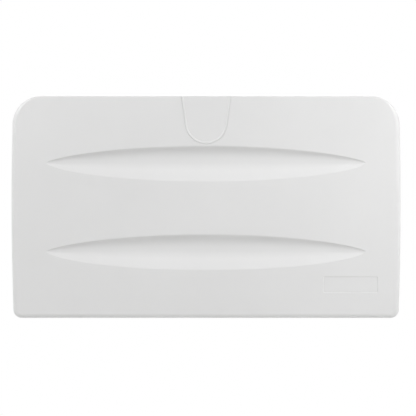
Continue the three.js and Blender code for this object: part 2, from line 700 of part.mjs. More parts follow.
// Round damper body with a foot under the housing's floor and a socket for its shaft.
function damper(side) {
  const seatZ = HOUSING_FLOOR_Z - FIT;
  return rod(DAMPER_RADIUS, towards(side, damperStart, damperEnd))
    .add(block(
      towards(side, damperStart, damperEnd),
      [HINGE_DEPTH - DAMPER_FOOT_REACH, HINGE_DEPTH - FIT],
      [seatZ - DAMPER_FOOT_THICKNESS, seatZ],
    ))
    .subtract(rod(
      DAMPER_SHAFT_DIAMETER / 2 + FIT,
      towards(side, damperEnd - DAMPER_SHAFT_DEPTH - FIT, damperEnd + OVERCUT),
    ));
}

// Drive arm: shaft stub, lever and a boss that meets the cover's side wall.
function damperArm(side) {
  const start = damperEnd + FIT;
  const bossDepth = HINGE_DEPTH + ARM_REACH;
  const bossZ = HINGE_Z + ARM_RISE;
  const seatX = Math.min(halfWidthAt(bossZ - ARM_RADIUS), halfWidthAt(bossZ + ARM_RADIUS)) - COVER_WALL - FIT;
  const shape = lever(
    new THREE.Vector2(HINGE_DEPTH, HINGE_Z),
    new THREE.Vector2(bossDepth, bossZ),
    ARM_RADIUS,
  );
  return bar(shape, side * start, side * (start + ARM_THICKNESS))
    .add(rod(DAMPER_SHAFT_DIAMETER / 2, towards(side, damperEnd - DAMPER_SHAFT_DEPTH, start + ARM_THICKNESS)))
    .add(rod(ARM_RADIUS, towards(side, start, seatX), bossDepth, bossZ));
}

// Rubber pad on the skirt that the bed's heel comes to rest on when the bed is level.
function stopBumper(side) {
  const heelDepth = HINGE_DEPTH - HINGE_RISE;
  const centreZ = HINGE_Z - STOP_DROP - STOP_HEIGHT / 2;
  const x = side * (BOTTOM_WIDTH / 2 - STOP_SIDE_MARGIN);
  const shape = roundedRectangle(STOP_WIDTH, STOP_HEIGHT, STOP_CORNER, x, centreZ);
  return slab(shape, BACK_WALL_FACE, heelDepth - FIT, 4);
}

// Magnetic catch under the housing's top wall.
function magnetCatch(side) {
  const face = BED_BACK - FIT - STRIKE_THICKNESS - FIT;
  const high = HOUSING_INNER_TOP_Z - FIT;
  const x = side * (TOP_WIDTH / 2 - CATCH_SIDE_MARGIN);
  return block(
    [x - CATCH_WIDTH / 2, x + CATCH_WIDTH / 2],
    [PANEL_FRONT_DEPTH + FIT, face],
    [high - CATCH_HEIGHT, high],
  );
}

// Steel plate on the tray's rim, facing the catch.
function strikePlate(side) {
  const width = CATCH_WIDTH + 2 * STRIKE_MARGIN;
  const centreZ = HOUSING_INNER_TOP_Z - FIT - CATCH_HEIGHT / 2;
  const x = side * (TOP_WIDTH / 2 - CATCH_SIDE_MARGIN);
  const shape = roundedRectangle(width, CATCH_HEIGHT, STRIKE_MARGIN, x, centreZ);
  return slab(shape, BED_BACK - FIT - STRIKE_THICKNESS, BED_BACK - FIT, 3);
}

// Joggled flat bar from the hinge leaf up behind the tray's floor.
function bedRail(side) {
  const low = BOTTOM_Z + COVER_WALL + FIT;
  const leafSide = LEAF_FRONT + FIT + RAIL_THICKNESS / 2;
  const traySide = TRAY_BACK_DEPTH + FIT + RAIL_THICKNESS / 2;
  const path = [
    new THREE.Vector2(leafSide, low),
    new THREE.Vector2(leafSide, low + RAIL_SEAT),
    new THREE.Vector2(traySide, low + RAIL_SEAT + RAIL_JOG),
    new THREE.Vector2(traySide, TRAY_FLOOR_HIGH_Z),
  ];
  const x = side * (HINGE_LENGTH / 2 - RAIL_END_MARGIN);
  return bar(strip(path, RAIL_THICKNESS), x - RAIL_WIDTH / 2, x + RAIL_WIDTH / 2);
}

// Webbing from its anchor behind the tray, out through the slot and along the floor to a buckle half.
function strap(slotZ, endZ) {
  const way = Math.sign(endZ - slotZ);
  const behind = TRAY_BACK_DEPTH + FIT + STRAP_THICKNESS / 2;
  const path = new THREE.Path();
  path.moveTo(behind, -STRAP_TAIL);
  path.lineTo(behind, -STRAP_BEND);
  path.absarc(behind - STRAP_BEND, -STRAP_BEND, STRAP_BEND, 0, Math.PI / 2);
  path.absarc(STRAP_DEPTH + STRAP_BEND, STRAP_BEND, STRAP_BEND, Math.PI * 1.5, Math.PI, true);
  path.lineTo(STRAP_DEPTH, Math.abs(endZ - slotZ));
  const points = path.getPoints(3).map((point) => new THREE.Vector2(point.x, slotZ + way * point.y));
  return bar(strip(points, STRAP_THICKNESS), -STRAP_WIDTH / 2, STRAP_WIDTH / 2);
}

// Frame round a strap slot, lying on the tray's floor.
function strapBezel(slotZ) {
  const shape = roundedRectangle(
    STRAP_SLOT_WIDTH + 2 * BEZEL_MARGIN,
    STRAP_SLOT_HEIGHT + 2 * BEZEL_MARGIN,
    BEZEL_MARGIN,
    0,
    slotZ,
  );
  const slot = roundedRectangle(STRAP_SLOT_WIDTH, STRAP_SLOT_HEIGHT, STRAP_SLOT_HEIGHT / 4, 0, slotZ);
  shape.holes.push(slot);
  return slab(shape, TRAY_FLOOR_DEPTH - FIT - BEZEL_THICKNESS, TRAY_FLOOR_DEPTH - FIT, 4);
}

// Steel plate that clamps the strap's tail to the back of the tray.
function strapAnchor(slotZ, way) {
  const seat = TRAY_BACK_DEPTH + FIT + STRAP_THICKNESS + FIT;
  const height = STRAP_TAIL - STRAP_BEND;
  const centreZ = slotZ + way * (STRAP_BEND + height / 2);
  const shape = roundedRectangle(ANCHOR_WIDTH, height, STRAP_BEND, 0, centreZ);
  return slab(shape, seat, seat + ANCHOR_THICKNESS, 3);
}

const prongDepths = [BUCKLE_FRONT - BUCKLE_THICKNESS + BUCKLE_WALL, STRAP_DEPTH - STRAP_THICKNESS / 2 - FIT];
const strapPocketDepths = [STRAP_DEPTH - STRAP_THICKNESS / 2 - FIT, STRAP_DEPTH + STRAP_THICKNESS / 2 + FIT];
const strapPocketHalf = STRAP_WIDTH / 2 + FIT;

// A round-cornered block of the buckle's width between two heights.
function buckleBlock(low, high) {
  const shape = roundedRectangle(BUCKLE_WIDTH, high - low, BUCKLE_CORNER, 0, (low + high) / 2);
  return slab(shape, BUCKLE_FRONT - BUCKLE_THICKNESS, BUCKLE_FRONT, 3);
}

// Socket half: a mouth for the prongs, a window on each side and a pocket for the strap's end.
function buckleFemale() {
  const low = BUCKLE_MOUTH_Z - FEMALE_LENGTH;
  const half = BUCKLE_CAVITY_WIDTH / 2;
  const windowZ = BUCKLE_MOUTH_Z - PRONG_LENGTH / 2;
  return buckleBlock(low, BUCKLE_MOUTH_Z)
    .subtract(block([-half, half], prongDepths, [BUCKLE_MOUTH_Z - PRONG_LENGTH - FIT, BUCKLE_MOUTH_Z + OVERCUT]))
    .subtract(block(
      [-BUCKLE_WIDTH, BUCKLE_WIDTH],
      prongDepths,
      [windowZ - BUCKLE_WINDOW / 2, windowZ + BUCKLE_WINDOW / 2],
    ))
    .subtract(block([-strapPocketHalf, strapPocketHalf], strapPocketDepths, [low - OVERCUT, low + STRAP_GRIP]));
}

// Plug half: two prongs in the socket and a pocket for the strap's end.
function buckleMale() {
  const low = BUCKLE_MOUTH_Z + FIT;
  const high = low + MALE_LENGTH;
  const outer = BUCKLE_CAVITY_WIDTH / 2 - PRONG_PLAY;
  const depths = [prongDepths[0] + PRONG_PLAY, prongDepths[1] - PRONG_PLAY];
  let male = buckleBlock(low, high);
  for (const [, side] of SIDES) {
    male = male.add(block(
      towards(side, outer - PRONG_WIDTH, outer),
      depths,
      [BUCKLE_MOUTH_Z - PRONG_LENGTH, low + BUCKLE_WALL],
    ));
  }
  return male.subtract(
    block([-strapPocketHalf, strapPocketHalf], strapPocketDepths, [high - STRAP_GRIP, high + OVERCUT]),
  );
}

const [lowerSlotZ, upperSlotZ] = STRAP_SLOT_Z;
const lowerStrapEnd = BUCKLE_MOUTH_Z - FEMALE_LENGTH + STRAP_GRIP - FIT;
const upperStrapEnd = BUCKLE_MOUTH_Z + FIT + MALE_LENGTH - STRAP_GRIP + FIT;

const housing = new THREE.Group();
housing.add(
  piece('wall_housing', wallHousing(), whitePlastic),
  piece('back_panel', backPanel(), greyPlastic),
  piece('hinge_leaf_fixed', hingeLeafFixed(), steel),
  piece('hinge_pin', hingePin(), steel),
);

const bed = new THREE.Group();
bed.add(
  piece('bed_cover', bedCover(), whitePlastic),
  piece('handle_insert', handleInsert(), whitePlastic),
  piece('bed_tray', bedTray(), greyPlastic),
  piece('hinge_leaf_moving', hingeLeafMoving(), steel),
  piece('strap_lower', strap(lowerSlotZ, lowerStrapEnd), webbing),
  piece('strap_upper', strap(upperSlotZ, upperStrapEnd), webbing),
  piece('strap_bezel_lower', strapBezel(lowerSlotZ), darkPlastic),
  piece('strap_bezel_upper', strapBezel(upperSlotZ), darkPlastic),
  piece('strap_anchor_lower', strapAnchor(lowerSlotZ, -1), steel),
  piece('strap_anchor_upper', strapAnchor(upperSlotZ, 1), steel),
  piece('buckle_female', buckleFemale(), darkPlastic),
);

for (const [name, side] of SIDES) {
  housing.add(
    piece(`wall_bracket_${name}`, wallBracket(side), steel),
    piece(`liner_tray_${name}`, linerTray(side), greyPlastic),
    piece(`bag_hook_${name}`, bagHook(side), steel),
    piece(`damper_${name}`, damper(side), darkPlastic),
    piece(`stop_bumper_${name}`, stopBumper(side), rubber),
    piece(`magnet_catch_${name}`, magnetCatch(side), darkPlastic),
  );
  bed.add(
    piece(`damper_arm_${name}`, damperArm(side), steel),
    piece(`strike_plate_${name}`, strikePlate(side), steel),
    piece(`bed_rail_${name}`, bedRail(side), steel),
  );
}

const plug = new THREE.Group();
plug.add(piece('buckle_male', buckleMale(), darkPlastic));
bed.add(plug);

const station = new THREE.Group();
station.add(housing, bed);

export default station;
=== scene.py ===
import json
import math

import bmesh
import bpy
from mathutils import Matrix, Vector


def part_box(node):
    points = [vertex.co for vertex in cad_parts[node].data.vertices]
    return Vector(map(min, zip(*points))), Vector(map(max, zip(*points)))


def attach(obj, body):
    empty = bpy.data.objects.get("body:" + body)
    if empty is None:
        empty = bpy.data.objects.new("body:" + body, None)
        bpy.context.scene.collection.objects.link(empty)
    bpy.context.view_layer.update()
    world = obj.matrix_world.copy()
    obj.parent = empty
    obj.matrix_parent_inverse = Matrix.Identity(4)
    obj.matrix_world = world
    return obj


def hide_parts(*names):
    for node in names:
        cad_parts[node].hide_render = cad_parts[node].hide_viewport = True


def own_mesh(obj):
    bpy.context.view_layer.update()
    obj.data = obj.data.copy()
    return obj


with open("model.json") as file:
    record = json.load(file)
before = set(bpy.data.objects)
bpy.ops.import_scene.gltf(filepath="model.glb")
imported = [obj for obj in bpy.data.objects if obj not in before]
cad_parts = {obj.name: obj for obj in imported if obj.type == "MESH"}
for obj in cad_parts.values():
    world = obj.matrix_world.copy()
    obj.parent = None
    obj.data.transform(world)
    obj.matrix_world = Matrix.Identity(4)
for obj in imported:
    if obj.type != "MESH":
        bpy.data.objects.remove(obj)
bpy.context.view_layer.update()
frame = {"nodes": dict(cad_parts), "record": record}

# Sizes are in millimetres and depths are distances from the wall, as on the drawing of the part.
MM = 0.001


def span(node):
    """A CAD node's extent in millimetres, as pairs in X, depth and Z."""
    low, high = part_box(node)
    return (low[0] / MM, high[0] / MM), (-high[1] / MM, -low[1] / MM), (low[2] / MM, high[2] / MM)


# Fits, rims and the number of points on rounds
FIT = 0.3
OVERCUT = 5
RIM_ROUND = 0.8
EASE_STEPS = 5
SIDE_STEPS = 12
CORNER_STEPS = 14
ROUND_STEPS = 8
SMALL_ROUND_STEPS = 4

# Bed outline
COVER_X, COVER_DEPTHS, COVER_Z = span("bed_cover")
HALF_WIDTH = COVER_X[1]
BED_BACK, FRONT = COVER_DEPTHS
BOTTOM_Z, TOP_Z = COVER_Z
TOP_TAPER = 2
BOTTOM_TAPER = 4
HALF_WIDTH_TOP = HALF_WIDTH - TOP_TAPER
HALF_WIDTH_BOTTOM = HALF_WIDTH - BOTTOM_TAPER
TOP_CORNER = 65
BOTTOM_CORNER = 20
SIDE_FILLET = 12
TOP_FILLET = 3
BOTTOM_FILLET = 10
FILLET_STEPS = 10
COVER_WALL = 4

# Scoops in the front
SCOOP_TIP_DROPS = (151, 351)
SCOOP_TIPS = [TOP_Z - drop for drop in SCOOP_TIP_DROPS]
SCOOP_HALF_LENGTH = 360
SCOOP_RISE = 36.5
SCOOP_DROP = 42.5
SCOOP_DEPTH = 12
SCOOP_TOP_POWER = 0.70
SCOOP_BOTTOM_POWER = 0.60
SCOOP_DEEPEST = 0.45
SCOOP_WALL_POWER = 4
SCOOP_RAMP_BEND = 0.4
SCOOP_TIP_ANGLE = 1.53
SCOOP_STATIONS = 96
SCOOP_STEPS = 32
SCOOP_TOP_EASE = 3.4
SCOOP_BOTTOM_EASE = 1.2
SCOOP_INSIDE_STATIONS = 40
SCOOP_INSIDE_STEPS = 14

# Label recess, tongue and finger cup
LABEL_WIDTH = 122
LABEL_HEIGHT = 35.5
LABEL_FROM_SIDE = 114
LABEL_FROM_BOTTOM = 75.5
LABEL_CENTRE = (HALF_WIDTH - LABEL_FROM_SIDE, BOTTOM_Z + LABEL_FROM_BOTTOM)
LABEL_DEPTH = 1
LABEL_CORNER = 3
LABEL_EASE = 0.9
TONGUE_HALF_TOP = 56.8
TONGUE_RADIUS = 48.5
TONGUE_DROP = 109.2
TONGUE_LOWEST_Z = TOP_Z - TONGUE_DROP
TONGUE_RECESS = 1
TONGUE_EASE = 0.8
TONGUE_STEPS = 40
BEAD_WIDTH = 5
BEAD_CREST = 0.6
BEAD_STEPS = 8
FLANGE_THICKNESS = 3
FLANGE_FRONT = FRONT - COVER_WALL - FIT
FLANGE_BACK = FLANGE_FRONT - FLANGE_THICKNESS
FLANGE_LAP = 3.4
CUP_HALF_WIDTH = 40
CUP_DROP = 73
CUP_BOTTOM_Z = TOP_Z - CUP_DROP
CUP_WALL = 3
CUP_CORNER = 10
CUP_BACK = span("handle_insert")[1][0] + CUP_WALL

# Changing tray
TRAY_DEPTHS = span("bed_tray")[1]
TRAY_LOW_Z = span("bed_tray")[2][0]
TRAY_WALL = 3.5
TRAY_FLOOR = TRAY_DEPTHS[1] - TRAY_WALL
TRAY_DEPTH = TRAY_FLOOR - BED_BACK
TRAY_RIM = {"side": 20, "top": 46, "bottom": 73}
TRAY_SLOPE = {"side": 70, "top": 55, "bottom": 55}
TRAY_FLOOR_RADIUS = 45
TRAY_STEPS = 18

# Housing and back panel
HOUSING_X, HOUSING_DEPTHS = span("wall_housing")[:2]
PANEL_DEPTHS = span("back_panel")[1]
PANEL_LOW_Z = span("back_panel")[2][0]
HOUSING_SETBACK = HALF_WIDTH - HOUSING_X[1]
HOUSING_WALL = 4
HOUSING_DEPTH = HOUSING_DEPTHS[1]
HOUSING_FLOOR_Z = PANEL_LOW_Z - FIT - HOUSING_WALL
HOUSING_BEVEL = 0.6
PANEL_BACK, PANEL_FRONT = PANEL_DEPTHS
LINER_SLOT_WIDTH = 130
LINER_SLOT_HEIGHT = 34
LINER_SLOT_X = 98
LINER_SLOT_Z = 55
LINER_SLOT_STEPS = 12
LINER_LIP = 7
LINER_LIP_HEIGHT = 2
WALL_HOLE_X = 203.2
WALL_HOLE_HEIGHTS = (170, -150)
WALL_HOLE_RADIUS = 4.5
WALL_HOLE_SIDES = 24

# Bag hooks
HOOK_RADIUS = 13
HOOK_STRAIGHT = 40
HOOK_TIP_RISE = 16
HOOK_THICKNESS = 4
HOOK_ROUND = 10
HOOK_EDGE = 1.2
HOOK_STEP = 1.0
HOOK_BEND_STEPS = 24

# Safety strap
STRAP_WIDTH = 40
STRAP_THICKNESS = 2
STRAP_BEND = 2.5
STRAP_BEND_STEPS = 6
STRAP_TAIL = 18
STRAP_EDGE = 0.5
STRAP_STEP = 1.5
STRAP_SLOT_WIDTH = 46
STRAP_SLOT_HEIGHT = 5
STRAP_SLOT_CORNER = STRAP_SLOT_HEIGHT / 4
BEZEL_LOWER = span("strap_bezel_lower")
BEZEL_UPPER = span("strap_bezel_upper")
BEZEL_HALF_FLAT = 2.5
BEZEL_EASE = 0.5
SLOT_LOWER_Z = sum(BEZEL_LOWER[2]) / 2
SLOT_UPPER_Z = sum(BEZEL_UPPER[2]) / 2
STRAP_PLANE = BEZEL_LOWER[1][0] - FIT - STRAP_THICKNESS / 2
SEAM_PLANE = STRAP_PLANE - STRAP_THICKNESS
SEAM_FACE = STRAP_PLANE - 1.5 * STRAP_THICKNESS
SEAM_NARROWING = 1
SEAM_WIDTH = STRAP_WIDTH - SEAM_NARROWING
SEAM_GAP = 1
SEAM_LENGTH = 26
SEAM_MARGIN = 4
STITCH_PITCH = 3.6
STITCH_LENGTH = 2.8
STITCH_WIDTH = 0.8
STITCH_SINK = 0.1
STITCH_HEIGHT = 0.45

# Buckle
FEMALE_X, BUCKLE_DEPTHS, FEMALE_Z = span("buckle_female")
MALE_Z = span("buckle_male")[2]
BUCKLE_MOUTH_Z = FEMALE_Z[1]
BUCKLE_WIDTH = 2 * FEMALE_X[1]
BUCKLE_TAPER = 4
BUCKLE_CORNER = 5
BUCKLE_WALL = 3
BUCKLE_EASE = 2.2
BUCKLE_BEVEL = 0.4
BUCKLE_WINDOW = 12
WINDOW_HALF_FLAT = 0.2
WINDOW_STEPS = 6
CAVITY_HALF = 20
PRONG_LENGTH = 26
PRONG_WIDTH = 6.5
PRONG_PLAY = 0.4
PRONG_DEPTHS = (BUCKLE_DEPTHS[0] + BUCKLE_WALL, STRAP_PLANE - STRAP_THICKNESS / 2 - FIT)
PRONG_CORNER = 2.4
PRONG_EASE = 0.7
PRONG_STEPS = 6
RIB_COUNT = 3
RIB_FROM_END = 4.5
RIB_PITCH = 3.2
RIB_LENGTH = 26
RIB_WIDTH = 1.5
RIB_CORNER = 0.7
RIB_HEIGHT = 0.5
RIB_ROOT = 1.4
RIB_EASE = 0.4
STRAP_GRIP = 9

# Screws and rivets: heads as radius and height, profile as shares of both
PAN_HEAD = (4.0, 2.4)
SMALL_HEAD = (3.2, 1.8)
TINY_HEAD = (2.4, 1.1)
RIVET_HEAD = (4.2, 1.6)
HEAD_PROFILE = ((1.0, 0.0), (1.0, 0.3), (0.93, 0.62), (0.7, 0.86), (0.4, 0.97), (0.12, 1.0))
HEAD_SIDES = 20
CROSS_ARM = 0.62
CROSS_SLIT = 0.13
CROSS_FLOOR = 0.45
CROSS_TOP = 2
PANEL_SCREWS = ((410, 130), (410, -110), (150, 224), (150, -186))
HOOK_SCREW_DROPS = (11, 31)
LEAF_THICKNESS = 2
LEAF_MARGIN = 9
FIXED_LEAF_SCREWS = 9
MOVING_LEAF_RIVETS = 12
DAMPER_FOOT_THICKNESS = 3
DAMPER_SCREW_DEPTH = 6
DAMPER_SCREW_INSET = 8

# Pole plates of the magnetic catches
POLE_LENGTH = 32
POLE_WIDTH = 2.4
POLE_CORNER = 0.8
POLE_STEPS = 3
POLE_INSET = 5
POLE_SUNK = 2
POLE_PROUD = 0.12
POLE_EASE = 0.1

# Shading and edge rounds
CREASE_DEGREES = 32
BEVEL_DEGREES = 40
BEVEL_SEGMENTS = 2
CAD_BEVEL = 0.5
CAD_BEVEL_DEGREES = 50

# Camera: the photograph's frame is 416 pixels across and the object's centre lies at this pixel.
FRAME_PIXELS = 416
MM_PER_PIXEL = 2.262
CENTRE_PIXEL = (206.1, 207.0)
CAMERA_DISTANCE = 5.0
SENSOR_WIDTH = 36.0

# Lamps: name, place and size in metres, and power in watts
LAMP_AIM = (0, -0.1, 0)
LAMPS = (
    ("key", (1.26, -1.16, 0.50), (0.8, 0.8), 7.2),
    ("left_box", (-2.0, -1.2, 1.4), (1.2, 1.2), 42),
    ("right_box", (2.0, -1.2, 1.6), (1.2, 1.2), 35),
    ("back_box", (0, 2.6, 3.0), (3.0, 2.0), 90),
)
WORLD_LIGHT = 0.15

# Floor, in metres
FLOOR_Z = -0.85
FLOOR_HALF_WIDTH = 4.5
FLOOR_FRONT = -7.0
FLOOR_BACK = 2.0


def place(x, depth, z):
    """A point on the part, in metres."""
    return Vector((x * MM, -depth * MM, z * MM))


def stacked(point, depth):
    return place(point[0], depth, point[1])


def strung(point, x):
    return place(x, point[0], point[1])


def upright(point, lift):
    return Vector((point[0], point[1], lift)) * MM


def new_object(name, data):
    obj = bpy.data.objects.new(name, data)
    bpy.context.scene.collection.objects.link(obj)
    return obj


def to_object(name, bm):
    """Makes an object of a finished bmesh and frees it."""
    mesh = bpy.data.meshes.new(name)
    bm.to_mesh(mesh)
    bm.free()
    return new_object(name, mesh)


def loft(name, sections, position):
    """A closed mesh skinned over sections, each a list of points and where it lies."""
    bm = bmesh.new()
    rings = [[bm.verts.new(position(point, at)) for point in points] for points, at in sections]
    for ring, following in zip(rings, rings[1:]):
        for i in range(len(ring)):
            j = (i + 1) % len(ring)
            bm.faces.new((ring[i], ring[j], following[j], following[i]))
    bm.faces.new(rings[0][::-1])
    bm.faces.new(rings[-1])
    bmesh.ops.recalc_face_normals(bm, faces=bm.faces)
    return to_object(name, bm)


def bake(obj):
    """Applies the modifiers of an object to its mesh."""
    graph = bpy.context.evaluated_depsgraph_get()
    mesh = bpy.data.meshes.new_from_object(obj.evaluated_get(graph))
    obj.modifiers.clear()
    obj.data = mesh


def combine(obj, other, operation):
    """Adds a closed mesh to another, cuts it away or keeps what both share, and deletes it."""
    modifier = obj.modifiers.new(operation, "BOOLEAN")
    modifier.operation = operation
    modifier.solver = "EXACT"
    modifier.object = other
    bake(obj)
    bpy.data.objects.remove(other)


def cut(obj, *cutters):
    for cutter in cutters:
        combine(obj, cutter, "DIFFERENCE")
    return obj


def add(obj, *others):
    for other in others:
        combine(obj, other, "UNION")


def slab(name, points, depths):
    return loft(name, [(points, depth) for depth in depths], stacked)


def block(name, x, depth, z):
    """A plain block between two X, two depths and two heights."""
    return slab(name, [(x[0], z[0]), (x[1], z[0]), (x[1], z[1]), (x[0], z[1])], depth)


def quarter(i, steps=EASE_STEPS):
    """Sine and cosine of a share of a quarter turn."""
    angle = math.pi / 2 * i / steps
    return math.sin(angle), math.cos(angle)


def pillow(name, shape, depths, ease):
    """A plate whose two faces have rounded rims. shape takes an amount to draw in by."""
    back, front = depths
    rows = []
    for i in range(EASE_STEPS + 1):
        sine, cosine = quarter(i)
        rows.append((ease * (1 - sine), back + ease * (1 - cosine)))
    rows += [(inset, front + back - depth) for inset, depth in reversed(rows)]
    return loft(name, [(shape(inset), depth) for inset, depth in rows], stacked)


def eased_cutter(name, shape, bottom, face, ease):
    """A cutter whose rim is rounded where it leaves a face. shape takes an amount to grow by."""
    rows = [(0, bottom)]
    for i in range(EASE_STEPS + 1):
        sine, cosine = quarter(i)
        rows.append((ease * (1 - cosine), face - ease * (1 - sine)))
    rows.append((ease, face + OVERCUT))
    return loft(name, [(shape(grow), depth) for grow, depth in rows], stacked)


def arc(centre, radii, start, end, steps):
    """Points of an elliptical arc between two angles in degrees."""
    points = []
    for i in range(steps + 1):
        angle = math.radians(start + (end - start) * i / steps)
        points.append((centre[0] + radii[0] * math.cos(angle), centre[1] + radii[1] * math.sin(angle)))
    return points


def circle(centre, radius, sides):
    return arc(centre, (radius, radius), 0, 360 - 360 / sides, sides - 1)


def rounded_rectangle(width, height, radius, centre, steps=ROUND_STEPS, taper=0):
    """A rectangle with round corners. A taper makes its upper end narrower and its lower end wider."""
    corners = []
    for turn, right, up in ((0, 1, 1), (90, -1, 1), (180, -1, -1), (270, 1, -1)):
        half = (width - up * taper) / 2
        middle = (centre[0] + right * (half - radius), centre[1] + up * (height / 2 - radius))
        corners += arc(middle, (radius, radius), turn, turn + 90, steps)
    return corners


def bowed_side(half_low, low, half_high, high, crown):
    """Points up a gently bowed side, without its two ends."""
    points = []
    for i in range(1, SIDE_STEPS):
        t = i / SIDE_STEPS
        half = half_low + (half_high - half_low) * t + crown * 4 * t * (1 - t)
        points.append((half, low + (high - low) * t))
    return points


def outline(side, top, bottom, top_radius=None, bottom_radius=None):
    """The bed's outline drawn in by its own amount at the sides, top and bottom."""
    high = TOP_Z - top
    low = BOTTOM_Z + bottom
    half_top = HALF_WIDTH_TOP - side
    half_bottom = HALF_WIDTH_BOTTOM - side
    crown = HALF_WIDTH - (HALF_WIDTH_TOP + HALF_WIDTH_BOTTOM) / 2
    top_x, top_z = top_radius or (TOP_CORNER - side, TOP_CORNER - top)
    bottom_x, bottom_z = bottom_radius or (BOTTOM_CORNER - side, BOTTOM_CORNER - bottom)
    right = bowed_side(half_bottom, low + bottom_z, half_top, high - top_z, crown)
    left = [(-x, z) for x, z in reversed(right)]
    return (
        arc((half_top - top_x, high - top_z), (top_x, top_z), 0, 90, CORNER_STEPS)
        + arc((top_x - half_top, high - top_z), (top_x, top_z), 90, 180, CORNER_STEPS)
        + left
        + arc((bottom_x - half_bottom, low + bottom_z), (bottom_x, bottom_z), 180, 270, CORNER_STEPS)
        + arc((half_bottom - bottom_x, low + bottom_z), (bottom_x, bottom_z), 270, 360, CORNER_STEPS)
        + right
    )


def bed_block(name, inset, back):
    """The bed's block with its front edge rounded, drawn in all over by an inset."""
    front = FRONT - inset

    def rounding(fillet, depth):
        radius = max(fillet - inset, 0)
        rise = max(depth - front + radius, 0)
        return inset + radius - math.sqrt(max(radius * radius - rise * rise, 0))

    depths = [back]
    if not inset:
        depths.append(back + RIM_ROUND)
    for i in range(FILLET_STEPS + 1):
        lift = quarter(i, FILLET_STEPS)[0]
        depths.append(front - max(SIDE_FILLET - inset, 0) * (1 - lift))
    sections = []
    for i, depth in enumerate(depths):
        ease = RIM_ROUND if i == 0 and not inset else 0
        insets = [ease + rounding(fillet, depth) for fillet in (SIDE_FILLET, TOP_FILLET, BOTTOM_FILLET)]
        sections.append((outline(*insets), depth))
    return loft(name, sections, stacked)


def scoop_depth(t):
    """Depth of a scoop from its upper edge (0) to its lower edge (1), as a share of its full depth."""
    if t < SCOOP_DEEPEST:
        return 1 - (1 - t / SCOOP_DEEPEST) ** SCOOP_WALL_POWER
    run = (t - SCOOP_DEEPEST) / (1 - SCOOP_DEEPEST)
    bend = SCOOP_RAMP_BEND
    climb = run * run / (2 * bend) if run < bend else run - bend / 2
    return 1 - climb / (1 - bend / 2)


def eased_rim(corner, inner, reach):
    """Points that round a rim from the flat face into the scoop, from the outside in."""
    away = 1 if corner[1] > inner[1] else -1
    start = (corner[0], corner[1] + away * reach)
    points = []
    for i in range(1, EASE_STEPS + 1):
        t = i / EASE_STEPS
        weights = ((1 - t) ** 2, 2 * t * (1 - t), t * t)
        points.append(tuple(
            weights[0] * start[k] + weights[1] * corner[k] + weights[2] * inner[k] for k in (0, 1)
        ))
    return points


def scoop(name, tip_z, wall, stations, steps):
    """One lens-shaped scoop as a cutter, open past the front face and grown by a wall."""
    rise = SCOOP_RISE + wall
    drop = SCOOP_DROP + wall
    open_end = FRONT + OVERCUT
    sections = []
    for i in range(stations + 1):
        share = math.sin(SCOOP_TIP_ANGLE * (2 * i / stations - 1))
        above = rise * (1 - share * share) ** SCOOP_TOP_POWER
        below = drop * (1 - share * share) ** SCOOP_BOTTOM_POWER
        size = (above + below) / (rise + drop)
        deep = (SCOOP_DEPTH + wall) * size
        raw = []
        for j in range(steps + 1):
            t = j / steps
            raw.append((FRONT - deep * scoop_depth(t), tip_z + above - t * (above + below)))
        upper = eased_rim(raw[0], raw[1], SCOOP_TOP_EASE * size)
        lower = eased_rim(raw[-1], raw[-2], SCOOP_BOTTOM_EASE * size)
        curve = upper + raw[2:-2] + lower[::-1]
        sections.append((
            [(open_end, curve[0][1])] + curve + [(open_end, curve[-1][1])],
            (SCOOP_HALF_LENGTH + wall) * share,
        ))
    return loft(name, sections, strung)


def tongue(grow, top):
    """The U of the tongue, grown by an amount: tapered sides that run into a round end."""
    radius = TONGUE_RADIUS + grow
    half = TONGUE_HALF_TOP + grow
    centre_z = TONGUE_LOWEST_Z + TONGUE_RADIUS
    rise = TOP_Z - centre_z
    touch = math.atan2(rise, half) - math.acos(radius / math.hypot(half, rise))
    touch_x = radius * math.cos(touch)
    touch_z = centre_z + radius * math.sin(touch)
    half_at_top = half + (top - TOP_Z) * (half - touch_x) / (TOP_Z - touch_z)
    turn = math.degrees(touch)
    end = arc((0, centre_z), (radius, radius), 180 - turn, 360 + turn, TONGUE_STEPS)
    return [(half_at_top, top), (-half_at_top, top)] + end


def tongue_stack(name, rows, top):
    return loft(name, [(tongue(grow, top), depth) for grow, depth in rows], stacked)


def bead_flank(foot, way):
    """One flank of the round bead along the tongue's edge, from its foot up to its crest."""
    half = (BEAD_WIDTH - BEAD_CREST) / 2
    rows = []
    for i in range(BEAD_STEPS + 1):
        sine, cosine = quarter(i, BEAD_STEPS)
        rows.append((foot + way * half * (1 - cosine), FRONT - TONGUE_RECESS * (1 - sine)))
    return rows


def label_shape(grow):
    return rounded_rectangle(
        LABEL_WIDTH + 2 * grow, LABEL_HEIGHT + 2 * grow, LABEL_CORNER + grow, LABEL_CENTRE
    )


def opening_shape(grow):
    return tongue(grow, TOP_Z + OVERCUT)


def make_cover():
    cover = bed_block("bed_cover_skin", 0, BED_BACK)
    hollow = bed_block("cover_hollow", COVER_WALL, BED_BACK - OVERCUT)
    for number, tip in enumerate(SCOOP_TIPS):
        cut(cover, scoop(f"scoop_{number}", tip, 0, SCOOP_STATIONS, SCOOP_STEPS))
        cut(hollow, scoop(f"bump_{number}", tip, COVER_WALL, SCOOP_INSIDE_STATIONS, SCOOP_INSIDE_STEPS))
    cut(cover, hollow)
    label = eased_cutter("label_recess", label_shape, FRONT - LABEL_DEPTH, FRONT, LABEL_EASE)
    opening = eased_cutter("tongue_opening", opening_shape, FLANGE_BACK - FIT, FRONT, TONGUE_EASE)
    half = CUP_HALF_WIDTH + FIT
    fingers = block(
        "finger_opening", (-half, half), (CUP_BACK - FIT, FRONT - COVER_WALL),
        (TOP_Z - COVER_WALL - OVERCUT, TOP_Z + OVERCUT),
    )
    return cut(cover, label, opening, fingers)


